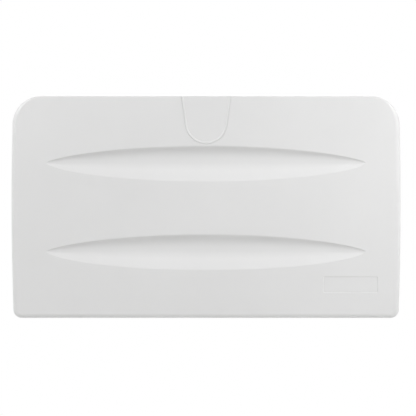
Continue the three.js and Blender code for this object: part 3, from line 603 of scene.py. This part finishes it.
def make_handle():
    under_top = TOP_Z - COVER_WALL - FIT
    plate = tongue_stack("handle_insert_skin", [(-FIT, FLANGE_BACK)] + bead_flank(-FIT, -1), TOP_Z)
    inner = bead_flank(-FIT - BEAD_WIDTH, 1)
    cut(plate, tongue_stack("face", inner + [(inner[-1][0], FRONT + OVERCUT)], TOP_Z + OVERCUT))
    combine(plate, bed_block("bed", 0, BED_BACK), "INTERSECT")
    flange = slab("flange", tongue(FLANGE_LAP, under_top), (FLANGE_BACK, FLANGE_FRONT))
    outer = CUP_HALF_WIDTH + CUP_WALL
    cup = block(
        "cup", (-outer, outer), (CUP_BACK - CUP_WALL, FLANGE_FRONT), (CUP_BOTTOM_Z - CUP_WALL, under_top)
    )
    top = TOP_Z + OVERCUT
    corner = CUP_CORNER
    pocket = (
        [(CUP_HALF_WIDTH, top), (-CUP_HALF_WIDTH, top)]
        + arc((corner - CUP_HALF_WIDTH, CUP_BOTTOM_Z + corner), (corner, corner), 180, 270, ROUND_STEPS)
        + arc((CUP_HALF_WIDTH - corner, CUP_BOTTOM_Z + corner), (corner, corner), 270, 360, ROUND_STEPS)
    )
    add(plate, flange, cup)
    return cut(plate, slab("pocket", pocket, (CUP_BACK, FLANGE_FRONT)))


def strap_slot(z):
    return rounded_rectangle(
        STRAP_SLOT_WIDTH, STRAP_SLOT_HEIGHT, STRAP_SLOT_CORNER, (0, z), SMALL_ROUND_STEPS
    )


def make_tray():
    radius = (TRAY_FLOOR_RADIUS, TRAY_FLOOR_RADIUS)
    corner = (BOTTOM_CORNER, BOTTOM_CORNER)
    edge = COVER_WALL + FIT
    low = TRAY_LOW_Z - BOTTOM_Z

    def outer(ease):
        return outline(edge + ease, edge + ease, low + ease, None, corner)

    face = [(outer(0), BED_BACK + RIM_ROUND), (outer(RIM_ROUND), BED_BACK)]
    for i in range(TRAY_STEPS + 1):
        share = i / TRAY_STEPS
        insets = [TRAY_RIM[edge_name] + TRAY_SLOPE[edge_name] * share for edge_name in TRAY_RIM]
        sunk = TRAY_DEPTH * (1 - math.cos(math.pi * share)) / 2
        face.append((outline(*insets, radius, radius), BED_BACK + sunk))
    back = [(points, depth + TRAY_WALL) for points, depth in face]
    back[0] = (face[0][0], BED_BACK + TRAY_WALL)
    del back[1]
    tray = loft("bed_tray_skin", face[::-1] + back, stacked)
    through = (TRAY_FLOOR - OVERCUT, TRAY_FLOOR + TRAY_WALL + OVERCUT)
    for z in (SLOT_LOWER_Z, SLOT_UPPER_Z):
        cut(tray, slab("slot", strap_slot(z), through))
    return tray


def make_housing():
    def shape(inset):
        return outline(inset, inset, inset)

    inner = HOUSING_SETBACK + HOUSING_WALL
    housing = loft("wall_housing_skin", [
        (shape(HOUSING_SETBACK), 0),
        (shape(HOUSING_SETBACK), HOUSING_DEPTH - RIM_ROUND),
        (shape(HOUSING_SETBACK + RIM_ROUND), HOUSING_DEPTH),
    ], stacked)
    pocket = slab("pocket", shape(inner), (HOUSING_WALL, HOUSING_DEPTH + OVERCUT))
    across = (-2 * HALF_WIDTH, 2 * HALF_WIDTH)
    floor_top = HOUSING_FLOOR_Z + HOUSING_WALL
    cut(pocket, block("under_floor", across, (-OVERCUT, FRONT), (2 * BOTTOM_Z, floor_top)))
    below = block("below_floor", across, (HOUSING_WALL, FRONT), (2 * BOTTOM_Z, HOUSING_FLOOR_Z))
    cut(housing, pocket, below)
    for x in (-WALL_HOLE_X, WALL_HOLE_X):
        for z in WALL_HOLE_HEIGHTS:
            hole = circle((x, z), WALL_HOLE_RADIUS, WALL_HOLE_SIDES)
            cut(housing, slab("hole", hole, (-OVERCUT, HOUSING_WALL + OVERCUT)))
    return housing


def make_panel():
    gap = HOUSING_SETBACK + HOUSING_WALL + FIT
    corner = (BOTTOM_CORNER, BOTTOM_CORNER)
    shape = outline(gap, gap, PANEL_LOW_Z - BOTTOM_Z, None, corner)
    panel = slab("back_panel_skin", shape, (PANEL_BACK, PANEL_FRONT))
    lip_face = PANEL_FRONT + LINER_LIP_HEIGHT
    for x in (-LINER_SLOT_X, LINER_SLOT_X):
        def slot(grow):
            radius = LINER_SLOT_HEIGHT / 2 - FIT + grow
            size = (LINER_SLOT_WIDTH + 2 * grow, LINER_SLOT_HEIGHT + 2 * grow)
            return rounded_rectangle(*size, radius, (x, LINER_SLOT_Z), LINER_SLOT_STEPS)

        def lip(inset):
            return slot(LINER_LIP - inset)

        add(panel, pillow("lip", lip, (PANEL_BACK + FIT, lip_face), LINER_LIP_HEIGHT / 2))
        cut(panel, eased_cutter("slot", slot, PANEL_BACK - OVERCUT, lip_face, LINER_LIP_HEIGHT))
    return panel


def resample(path, step):
    """Points at even steps along a path."""
    lengths = [0.0]
    for a, b in zip(path, path[1:]):
        lengths.append(lengths[-1] + math.dist(a, b))
    count = math.ceil(lengths[-1] / step)
    points = []
    i = 0
    for k in range(count + 1):
        at = lengths[-1] * k / count
        while i < len(path) - 2 and lengths[i + 1] < at:
            i += 1
        share = (at - lengths[i]) / (lengths[i + 1] - lengths[i])
        points.append(tuple(path[i][j] + (path[i + 1][j] - path[i][j]) * share for j in (0, 1)))
    return points


def ribbon(name, path, width, thickness, step, edge, end_round=0, centre_x=0):
    """A flat band along a path in depth and Z, with rolled edges and, where asked, round ends."""
    points = resample(path, step)
    length = step * (len(points) - 1)
    rolled, full = 0.3 * thickness, 0.5 * thickness
    sections = []
    for i, (depth, z) in enumerate(points):
        before = points[max(i - 1, 0)]
        after = points[min(i + 1, len(points) - 1)]
        along = Vector((after[0] - before[0], after[1] - before[1])).normalized()
        room = max(end_round - min(i * step, length - i * step), 0)
        half = width / 2 - end_round + math.sqrt(end_round ** 2 - room ** 2)
        section = [(-half, rolled), (edge - half, full), (half - edge, full), (half, rolled)]
        section += [(x, -lift) for x, lift in reversed(section)]
        ring = [(centre_x + x, depth - along.y * lift, z + along.x * lift) for x, lift in section]
        sections.append((ring, 0))
    return loft(name, sections, lambda point, _: place(*point))


def strap_path(slot_z, end_z):
    """The middle line of the webbing, from its anchor through the slot to its buckle half."""
    way = 1 if end_z > slot_z else -1
    behind = TRAY_FLOOR + TRAY_WALL + FIT + STRAP_THICKNESS / 2
    bend = (STRAP_BEND, STRAP_BEND)
    path = [(behind, -STRAP_TAIL)]
    path += arc((behind - STRAP_BEND, -STRAP_BEND), bend, 0, 90, STRAP_BEND_STEPS)
    path += arc((STRAP_PLANE + STRAP_BEND, STRAP_BEND), bend, 270, 180, STRAP_BEND_STEPS)
    path.append((STRAP_PLANE, abs(end_z - slot_z)))
    return [(depth, slot_z + way * z) for depth, z in path]


def merge(name, objects):
    """One object of several meshes laid together."""
    bm = bmesh.new()
    for obj in objects:
        bm.from_mesh(obj.data)
        bpy.data.objects.remove(obj)
    return to_object(name, bm)


def seam_span(buckle_z, slot_z):
    """Where the folded and sewn end of a strap starts and stops, next to its buckle half."""
    way = 1 if slot_z > buckle_z else -1
    return buckle_z + way * SEAM_GAP, buckle_z + way * (SEAM_GAP + SEAM_LENGTH)


def make_strap(name, slot_z, end_z, buckle_z):
    """Webbing with its end folded back through the buckle and sewn down."""
    start, stop = seam_span(buckle_z, slot_z)
    folded = [(SEAM_PLANE, start), (SEAM_PLANE, stop)]
    band = ribbon("band", strap_path(slot_z, end_z), STRAP_WIDTH, STRAP_THICKNESS, STRAP_STEP, STRAP_EDGE)
    fold = ribbon("fold", folded, SEAM_WIDTH, STRAP_THICKNESS, STRAP_STEP, STRAP_EDGE)
    return merge(name, [band, fold])


def seam_lines(slot_z, buckle_z):
    """The lines of a sewn box with a cross in it, as pairs of points in X and Z."""
    start, stop = seam_span(buckle_z, slot_z)
    half = STRAP_WIDTH / 2 - SEAM_MARGIN
    inward = SEAM_MARGIN if stop > start else -SEAM_MARGIN
    near, far = start + inward, stop - inward
    a, b, c, d = (-half, near), (half, near), (half, far), (-half, far)
    return [(a, b), (b, c), (c, d), (d, a), (a, c), (b, d)]


def make_stitching(name, slot_z, buckle_z):
    """Stitches along the lines of a seam, each a short raised lozenge of thread."""
    bm = bmesh.new()
    for a, b in seam_lines(slot_z, buckle_z):
        along = Vector(b) - Vector(a)
        count = max(round(along.length / STITCH_PITCH), 1)
        direction = along.normalized()
        across = Vector((-direction.y, direction.x))
        reach = direction * (STITCH_LENGTH / 2)
        side = across * (STITCH_WIDTH / 2)
        for i in range(count):
            middle = Vector(a) + along * ((i + 0.5) / count)
            corners = (middle - reach, middle + side, middle + reach, middle - side)
            rim = [bm.verts.new(place(p.x, SEAM_FACE + STITCH_SINK, p.y)) for p in corners]
            crest = bm.verts.new(place(middle.x, SEAM_FACE - STITCH_HEIGHT, middle.y))
            for k in range(4):
                bm.faces.new((rim[k], rim[(k + 1) % 4], crest))
            bm.faces.new(rim[::-1])
    bmesh.ops.recalc_face_normals(bm, faces=bm.faces)
    return to_object(name, bm)


def make_bezel(name, extent):
    (left, right), depths, (low, high) = extent
    middle = (low + high) / 2
    corner = (high - low) / 2 - BEZEL_HALF_FLAT

    def shape(inset):
        return rounded_rectangle(
            right - left - 2 * inset, high - low - 2 * inset, corner - inset, (0, middle)
        )

    bezel = pillow(name, shape, depths, BEZEL_EASE)
    return cut(bezel, slab("slot", strap_slot(middle), (depths[0] - OVERCUT, depths[1] + OVERCUT)))


def buckle_body(name, low, high, taper):
    """Round-edged block of a buckle half, with grip ribs at its strap end."""
    centre = (0, (low + high) / 2)
    width = BUCKLE_WIDTH - abs(taper) / 2

    def shape(inset):
        return rounded_rectangle(
            width - 2 * inset, high - low - 2 * inset, BUCKLE_CORNER - inset, centre, ROUND_STEPS, taper
        )

    body = pillow(name, shape, BUCKLE_DEPTHS, BUCKLE_EASE)
    end = high if taper > 0 else low
    way = -1 if taper > 0 else 1
    face = BUCKLE_DEPTHS[0]
    for number in range(RIB_COUNT):
        rib_z = end + way * (RIB_FROM_END + RIB_PITCH * number)

        def rib(inset):
            return rounded_rectangle(
                RIB_LENGTH - 2 * inset, RIB_WIDTH - 2 * inset, RIB_CORNER - inset, (0, rib_z),
                SMALL_ROUND_STEPS,
            )

        add(body, pillow("rib", rib, (face - RIB_HEIGHT, face + RIB_ROOT), RIB_EASE))
    return body


def strap_pocket(z):
    half = STRAP_WIDTH / 2 + FIT
    reach = STRAP_THICKNESS / 2 + FIT
    return block("strap_pocket", (-half, half), (STRAP_PLANE - reach, STRAP_PLANE + reach), z)


def make_buckle_female():
    low, mouth = FEMALE_Z
    body = buckle_body("buckle_female_skin", low, mouth, -BUCKLE_TAPER)
    cavity = block(
        "cavity", (-CAVITY_HALF, CAVITY_HALF), PRONG_DEPTHS, (mouth - PRONG_LENGTH - FIT, mouth + OVERCUT)
    )
    height = PRONG_DEPTHS[1] - PRONG_DEPTHS[0]
    centre = (sum(PRONG_DEPTHS) / 2, mouth - PRONG_LENGTH / 2)
    shape = rounded_rectangle(height, BUCKLE_WINDOW, height / 2 - WINDOW_HALF_FLAT, centre, WINDOW_STEPS)
    window = loft("window", [(shape, -BUCKLE_WIDTH), (shape, BUCKLE_WIDTH)], strung)
    return cut(body, cavity, window, strap_pocket((low - OVERCUT, low + STRAP_GRIP)))


def make_buckle_male():
    low = BUCKLE_MOUTH_Z + FIT
    high = MALE_Z[1]
    body = buckle_body("buckle_male_skin", low, high, BUCKLE_TAPER)
    outer = CAVITY_HALF - PRONG_PLAY
    depths = (PRONG_DEPTHS[0] + PRONG_PLAY, PRONG_DEPTHS[1] - PRONG_PLAY)
    tip, root = MALE_Z[0], low + BUCKLE_WALL
    for side in (-1, 1):
        centre = (side * (outer - PRONG_WIDTH / 2), (tip + root) / 2)

        def prong(inset):
            return rounded_rectangle(
                PRONG_WIDTH - 2 * inset, root - tip - 2 * inset, PRONG_CORNER - inset, centre, PRONG_STEPS
            )

        add(body, pillow("prong", prong, depths, PRONG_EASE))
    return cut(body, strap_pocket((high - STRAP_GRIP, high + OVERCUT)))


def make_hook(side):
    """J-shaped flat hook with round ends."""
    x, depths, z = span(f"bag_hook_{side}")
    back = depths[0] + HOOK_THICKNESS / 2
    bend_z = z[1] - HOOK_STRAIGHT
    path = [(back, z[1])]
    path += arc((back + HOOK_RADIUS, bend_z), (HOOK_RADIUS, HOOK_RADIUS), 180, 360, HOOK_BEND_STEPS)
    path.append((back + 2 * HOOK_RADIUS, bend_z + HOOK_TIP_RISE))
    return ribbon(
        f"bag_hook_{side}_skin", path, x[1] - x[0], HOOK_THICKNESS, HOOK_STEP, HOOK_EDGE, HOOK_ROUND,
        (x[0] + x[1]) / 2,
    )


def screw_head(radius, height, recess=True):
    """Mesh of a domed screw or rivet head that stands on its own X and Y."""
    rings = [(circle((0, 0), share * radius, HEAD_SIDES), lift * height) for share, lift in HEAD_PROFILE]
    head = loft("head", rings, upright)
    if recess:
        arm, slit = radius * CROSS_ARM, radius * CROSS_SLIT
        for x, y in ((arm, slit), (slit, arm)):
            corners = [(-x, -y), (x, -y), (x, y), (-x, y)]
            rows = [(corners, height * CROSS_FLOOR), (corners, height * CROSS_TOP)]
            cut(head, loft("slit", rows, upright))
    mesh = head.data
    bpy.data.objects.remove(head)
    return mesh


FACING = {
    "front": Matrix.Rotation(math.pi / 2, 4, "X"),
    "wall": Matrix.Rotation(-math.pi / 2, 4, "X"),
    "down": Matrix.Rotation(math.pi, 4, "X"),
}


def make_fasteners(name, groups):
    """All the heads on one body: each group is a mesh, the way it faces and where it sits."""
    bm = bmesh.new()
    for mesh, facing, places in groups:
        for x, depth, z in places:
            known = len(bm.verts)
            bm.from_mesh(mesh)
            bm.verts.ensure_lookup_table()
            turn = Matrix.Translation(place(x, depth, z)) @ FACING[facing]
            bmesh.ops.transform(bm, matrix=turn, verts=bm.verts[known:])
    return to_object(name, bm)


def mirrored(places):
    return [(side * x, depth, z) for x, depth, z in places for side in (-1, 1)]


def spread(x, count, depth, z):
    """A row of places, evenly spaced along X."""
    return [(x[0] + (x[1] - x[0]) * (i + 0.5) / count, depth, z) for i in range(count)]


def housing_fasteners():
    pan = screw_head(*PAN_HEAD)
    small = screw_head(*SMALL_HEAD)
    panel = mirrored([(x, PANEL_FRONT, z) for x, z in PANEL_SCREWS])
    (left, right), hook_depths, hook_z = span("bag_hook_right")
    hook_x = (left + right) / 2
    hook_face = hook_depths[0] + HOOK_THICKNESS
    hooks = mirrored([(hook_x, hook_face, hook_z[1] - drop) for drop in HOOK_SCREW_DROPS])
    leaf_x, leaf_depths, leaf_z = span("hinge_leaf_fixed")
    leaf = spread(leaf_x, FIXED_LEAF_SCREWS, leaf_depths[0] + LEAF_MARGIN, leaf_z[1] - LEAF_THICKNESS)
    (inner, outer), damper_depths, damper_z = span("damper_right")
    foot_depth = damper_depths[0] + DAMPER_SCREW_DEPTH
    foot_z = damper_z[1] - DAMPER_FOOT_THICKNESS
    foot_places = (inner + DAMPER_SCREW_INSET, outer - DAMPER_SCREW_INSET)
    feet = mirrored([(x, foot_depth, foot_z) for x in foot_places])
    return make_fasteners("housing_fasteners", [
        (pan, "front", panel), (small, "front", hooks), (pan, "down", leaf), (small, "down", feet),
    ])


def bed_fasteners():
    rivet = screw_head(*RIVET_HEAD, recess=False)
    tiny = screw_head(*TINY_HEAD)
    bezel_face = BEZEL_LOWER[1][0]
    bezel_x = (BEZEL_LOWER[0][1] + STRAP_SLOT_WIDTH / 2) / 2
    bezels = mirrored([(bezel_x, bezel_face, z) for z in (SLOT_LOWER_Z, SLOT_UPPER_Z)])
    leaf_x, leaf_depths, leaf_z = span("hinge_leaf_moving")
    leaf = spread(leaf_x, MOVING_LEAF_RIVETS, leaf_depths[1] - LEAF_THICKNESS, leaf_z[1] - LEAF_MARGIN)
    return make_fasteners("bed_fasteners", [(tiny, "wall", bezels), (rivet, "wall", leaf)])


def make_poles(side):
    """The two steel pole plates in the face of a magnetic catch."""
    (left, right), depths, (low, high) = span(f"magnet_catch_{side}")
    middle = (left + right) / 2
    plates = []
    for z in (low + POLE_INSET, high - POLE_INSET):
        def shape(inset):
            return rounded_rectangle(
                POLE_LENGTH - 2 * inset, POLE_WIDTH - 2 * inset, POLE_CORNER - inset, (middle, z),
                POLE_STEPS,
            )

        plates.append(pillow("pole", shape, (depths[1] - POLE_SUNK, depths[1] + POLE_PROUD), POLE_EASE))
    return merge(f"magnet_poles_{side}", plates)


def shade(obj):
    """Smooth shading with sharp creases kept, and flat faces kept flat."""
    obj.data.polygons.foreach_set("use_smooth", [True] * len(obj.data.polygons))
    obj.data.set_sharp_from_angle(angle=math.radians(CREASE_DEGREES))
    modifier = obj.modifiers.new("flat_faces", "WEIGHTED_NORMAL")
    modifier.keep_sharp = True
    return obj


def bevel(obj, width, degrees=BEVEL_DEGREES):
    modifier = obj.modifiers.new("edges", "BEVEL")
    modifier.width = width * MM
    modifier.segments = BEVEL_SEGMENTS
    modifier.limit_method = "ANGLE"
    modifier.angle_limit = math.radians(degrees)
    return obj


# Materials: texture scales are per metre and bump heights are in metres.
NOISE_DETAIL = 3.0
RAMP_ENDS = (0.3, 0.7)
DRIFT_SCALE = 4.0
GLOSS_SCALE = 60.0
GLOSS_SPREAD = 0.04
GRAIN_DETAIL = 2.0
GRAIN_HEIGHT = 0.0002
DRAWN_SCALE = 900.0
DRAWN_DETAIL = 4.0
DRAWN_STRETCH = (0.02, 1, 1)
DRAWN_SMOOTHER = 0.08
DRAWN_ROUGHER = 0.1
DRAWN_STRENGTH = 0.15
DRAWN_HEIGHT = 0.0001
CLOUD_SCALE = 25.0
CLOUD_SHADE = 0.9
WARP_SCALE = 130.0
WEFT_SCALE = 210.0
WEAVE_ROUGHNESS = 0.85
WEAVE_SHEEN = 0.3
WEAVE_SHADE = 0.55
WEAVE_STRENGTH = 0.5
WEAVE_HEIGHT = 0.0006


def new_material(name, color, roughness, metallic=0.0):
    material = bpy.data.materials.new(name)
    material.use_nodes = True
    tree = material.node_tree
    shader = tree.nodes["Principled BSDF"]
    shader.inputs["Base Color"].default_value = (*color, 1)
    shader.inputs["Roughness"].default_value = roughness
    shader.inputs["Metallic"].default_value = metallic
    coordinates = tree.nodes.new("ShaderNodeTexCoord")
    return material, tree, shader, coordinates


def noise(tree, coordinates, scale, detail=NOISE_DETAIL, stretch=None):
    """A noise texture in the part's own frame, stretched along an axis where asked."""
    texture = tree.nodes.new("ShaderNodeTexNoise")
    texture.inputs["Scale"].default_value = scale
    texture.inputs["Detail"].default_value = detail
    source = coordinates.outputs["Object"]
    if stretch:
        mapping = tree.nodes.new("ShaderNodeMapping")
        mapping.inputs["Scale"].default_value = stretch
        tree.links.new(source, mapping.inputs["Vector"])
        source = mapping.outputs["Vector"]
    tree.links.new(source, texture.inputs["Vector"])
    return texture.outputs["Fac"]


def vary(tree, factor, low, high, target):
    """Maps a texture between two values or two colours onto a shader socket."""
    ramp = tree.nodes.new("ShaderNodeValToRGB")
    for element, position, value in zip(ramp.color_ramp.elements, RAMP_ENDS, (low, high)):
        color = value if isinstance(value, tuple) else (value, value, value)
        element.position = position
        element.color = (*color, 1)
    tree.links.new(factor, ramp.inputs["Fac"])
    tree.links.new(ramp.outputs["Color"], target)


def bump(tree, shader, height, strength, distance):
    node = tree.nodes.new("ShaderNodeBump")
    node.inputs["Strength"].default_value = strength
    node.inputs["Distance"].default_value = distance
    tree.links.new(height, node.inputs["Height"])
    tree.links.new(node.outputs["Normal"], shader.inputs["Normal"])


def plastic(name, color, roughness, grain_scale, grain_strength, tint=0.015):
    """Moulded plastic: a fine grain, uneven gloss and a faint drift of colour."""
    material, tree, shader, coordinates = new_material(name, color, roughness)
    darker = tuple(channel * (1 - tint) for channel in color)
    lighter = tuple(min(channel * (1 + tint), 1) for channel in color)
    vary(tree, noise(tree, coordinates, DRIFT_SCALE), darker, lighter, shader.inputs["Base Color"])
    gloss = noise(tree, coordinates, GLOSS_SCALE)
    vary(tree, gloss, roughness - GLOSS_SPREAD, roughness + GLOSS_SPREAD, shader.inputs["Roughness"])
    grain = noise(tree, coordinates, grain_scale, GRAIN_DETAIL)
    bump(tree, shader, grain, grain_strength, GRAIN_HEIGHT)
    return material


def brushed_steel(name, color, roughness):
    """Plated steel with fine drawing marks along X."""
    material, tree, shader, coordinates = new_material(name, color, roughness, 1.0)
    marks = noise(tree, coordinates, DRAWN_SCALE, DRAWN_DETAIL, DRAWN_STRETCH)
    vary(tree, marks, roughness - DRAWN_SMOOTHER, roughness + DRAWN_ROUGHER, shader.inputs["Roughness"])
    darker = tuple(channel * CLOUD_SHADE for channel in color)
    vary(tree, noise(tree, coordinates, CLOUD_SCALE), darker, color, shader.inputs["Base Color"])
    bump(tree, shader, marks, DRAWN_STRENGTH, DRAWN_HEIGHT)
    return material


def wave(tree, coordinates, direction, scale):
    texture = tree.nodes.new("ShaderNodeTexWave")
    texture.bands_direction = direction
    texture.inputs["Scale"].default_value = scale
    tree.links.new(coordinates.outputs["Object"], texture.inputs["Vector"])
    return texture.outputs["Fac"]


def woven(name, color):
    """Woven webbing: warp ribs side by side across the band and a finer weft along it."""
    material, tree, shader, coordinates = new_material(name, color, WEAVE_ROUGHNESS)
    shader.inputs["Sheen Weight"].default_value = WEAVE_SHEEN
    warp = wave(tree, coordinates, "X", WARP_SCALE)
    weft = wave(tree, coordinates, "Z", WEFT_SCALE)
    weave = tree.nodes.new("ShaderNodeMath")
    weave.operation = "MULTIPLY"
    tree.links.new(warp, weave.inputs[0])
    tree.links.new(weft, weave.inputs[1])
    darker = tuple(channel * WEAVE_SHADE for channel in color)
    vary(tree, weave.outputs["Value"], darker, color, shader.inputs["Base Color"])
    bump(tree, shader, weave.outputs["Value"], WEAVE_STRENGTH, WEAVE_HEIGHT)
    return material


MATERIALS = {
    "shell_plastic": plastic(
        "shell_plastic", (0.760, 0.760, 0.760), roughness=0.40, grain_scale=1500.0, grain_strength=0.10
    ),
    "tray_plastic": plastic(
        "tray_plastic", (0.700, 0.704, 0.706), roughness=0.46, grain_scale=900.0, grain_strength=0.16
    ),
    "steel": brushed_steel("steel", (0.60, 0.61, 0.63), roughness=0.34),
    "dark_plastic": plastic(
        "dark_plastic", (0.035, 0.036, 0.039), roughness=0.42, grain_scale=1200.0, grain_strength=0.15,
        tint=0.1,
    ),
    "rubber": plastic(
        "rubber", (0.022, 0.022, 0.022), roughness=0.75, grain_scale=700.0, grain_strength=0.2, tint=0.15
    ),
    "webbing": woven("webbing", (0.10, 0.105, 0.12)),
    "thread": plastic(
        "thread", (0.30, 0.31, 0.33), roughness=0.8, grain_scale=2000.0, grain_strength=0.3, tint=0.1
    ),
}
REPLACED = set()


def paint(obj, slot):
    obj.data.materials.clear()
    obj.data.materials.append(MATERIALS[slot])


def dress(obj, body, slot, *nodes):
    """Paints a new piece, ties it to its body and lets it stand for CAD nodes."""
    paint(obj, slot)
    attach(obj, body)
    if nodes:
        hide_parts(*nodes)
        REPLACED.update(nodes)


def paint_cad_nodes():
    """Gives every CAD node that still shows its slot's material and soft edges."""
    slots = {row["node"]: row["material_slot"] for row in frame["record"]["subparts"]}
    for name, obj in frame["nodes"].items():
        if name in REPLACED:
            continue
        if not obj.material_slots:
            obj.data.materials.append(None)
        for material_slot in obj.material_slots:
            material_slot.material = MATERIALS[slots[name]]
        bevel(obj, CAD_BEVEL, CAD_BEVEL_DEGREES)


# The scene
def build_pieces():
    dress(shade(make_cover()), "bed", "shell_plastic", "bed_cover")
    dress(shade(make_handle()), "bed", "shell_plastic", "handle_insert")
    dress(shade(make_tray()), "bed", "tray_plastic", "bed_tray")
    dress(shade(bevel(make_housing(), HOUSING_BEVEL)), "housing", "shell_plastic", "wall_housing")
    dress(shade(make_panel()), "housing", "tray_plastic", "back_panel")
    for side in ("left", "right"):
        dress(shade(make_hook(side)), "housing", "steel", f"bag_hook_{side}")
        dress(shade(make_poles(side)), "housing", "steel")
    dress(shade(housing_fasteners()), "housing", "steel")
    dress(shade(bed_fasteners()), "bed", "steel")
    build_strap()
    paint_cad_nodes()


def build_strap():
    for end, extent in (("lower", BEZEL_LOWER), ("upper", BEZEL_UPPER)):
        bezel = make_bezel(f"strap_bezel_{end}_skin", extent)
        dress(shade(bezel), "bed", "dark_plastic", f"strap_bezel_{end}")
    dress(shade(bevel(make_buckle_female(), BUCKLE_BEVEL)), "bed", "dark_plastic", "buckle_female")
    dress(shade(bevel(make_buckle_male(), BUCKLE_BEVEL)), "buckle", "dark_plastic", "buckle_male")
    low_end = FEMALE_Z[0] + STRAP_GRIP - FIT
    high_end = MALE_Z[1] - STRAP_GRIP + FIT
    lower = make_strap("strap_lower_skin", SLOT_LOWER_Z, low_end, FEMALE_Z[0])
    upper = make_strap("strap_upper_skin", SLOT_UPPER_Z, high_end, MALE_Z[1])
    lower_thread = make_stitching("strap_lower_stitching", SLOT_LOWER_Z, FEMALE_Z[0])
    upper_thread = make_stitching("strap_upper_stitching", SLOT_UPPER_Z, MALE_Z[1])
    dress(shade(lower), "bed", "webbing", "strap_lower")
    dress(shade(upper), "bed", "webbing", "strap_upper")
    for thread in (lower_thread, upper_thread):
        dress(shade(thread), "bed", "webbing")
        thread.data.materials[0] = MATERIALS["thread"]
    for piece in (upper, upper_thread):
        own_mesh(piece)


def build_lights():
    """Soft boxes high on both sides, a near key at the right and a broad fill from behind."""
    for name, location, size, power in LAMPS:
        data = bpy.data.lights.new(name, "AREA")
        data.shape = "RECTANGLE"
        data.size, data.size_y = size
        data.energy = power
        lamp = new_object(name, data)
        lamp.location = location
        lamp.rotation_euler = (Vector(LAMP_AIM) - Vector(location)).to_track_quat("-Z", "Y").to_euler()


def build_world():
    """White where the camera, a mirror or glass sees it, and a dim even light on everything else."""
    world = bpy.data.worlds.new("studio")
    bpy.context.scene.world = world
    world.use_nodes = True
    tree = world.node_tree
    tree.nodes.clear()
    output = tree.nodes.new("ShaderNodeOutputWorld")
    mix = tree.nodes.new("ShaderNodeMixShader")
    seen = tree.nodes.new("ShaderNodeBackground")
    light = tree.nodes.new("ShaderNodeBackground")
    seen.inputs["Color"].default_value = (1, 1, 1, 1)
    light.inputs["Color"].default_value = (1, 1, 1, 1)
    light.inputs["Strength"].default_value = WORLD_LIGHT
    path = tree.nodes.new("ShaderNodeLightPath")
    reach = path.outputs["Is Camera Ray"]
    for ray in ("Is Glossy Ray", "Is Transmission Ray"):
        either = tree.nodes.new("ShaderNodeMath")
        either.operation = "MAXIMUM"
        tree.links.new(reach, either.inputs[0])
        tree.links.new(path.outputs[ray], either.inputs[1])
        reach = either.outputs["Value"]
    tree.links.new(reach, mix.inputs["Fac"])
    tree.links.new(light.outputs["Background"], mix.inputs[1])
    tree.links.new(seen.outputs["Background"], mix.inputs[2])
    tree.links.new(mix.outputs["Shader"], output.inputs["Surface"])


def build_floor():
    """A pale floor, as far below the station as it is in use."""
    half = FLOOR_HALF_WIDTH
    corners = [(-half, FLOOR_FRONT), (half, FLOOR_FRONT), (half, FLOOR_BACK), (-half, FLOOR_BACK)]
    mesh = bpy.data.meshes.new("floor")
    mesh.from_pydata([(x, y, FLOOR_Z) for x, y in corners], [], [(0, 1, 2, 3)])
    floor = new_object("floor", mesh)
    floor.data.materials.append(plastic(
        "floor_paint", (0.9, 0.9, 0.89), roughness=0.7, grain_scale=300.0, grain_strength=0.05
    ))


def build_camera():
    """Straight on, far off, with the object's centre at its pixel in the photograph."""
    data = bpy.data.cameras.new("camera")
    frame_width = FRAME_PIXELS * MM_PER_PIXEL * MM
    data.sensor_fit = "HORIZONTAL"
    data.sensor_width = SENSOR_WIDTH
    data.lens = SENSOR_WIDTH * CAMERA_DISTANCE / frame_width
    camera = new_object("camera", data)
    middle = FRAME_PIXELS / 2
    across = (middle - CENTRE_PIXEL[0]) * MM_PER_PIXEL * MM
    up = (CENTRE_PIXEL[1] - middle) * MM_PER_PIXEL * MM
    outline_depth = (FRONT - SIDE_FILLET) * MM
    camera.location = (across, -CAMERA_DISTANCE - outline_depth, up)
    camera.rotation_euler = (math.pi / 2, 0, 0)
    bpy.context.scene.camera = camera


build_camera()
build_world()
build_lights()
build_floor()
build_pieces()

bpy.context.scene.view_settings.view_transform = "Standard"
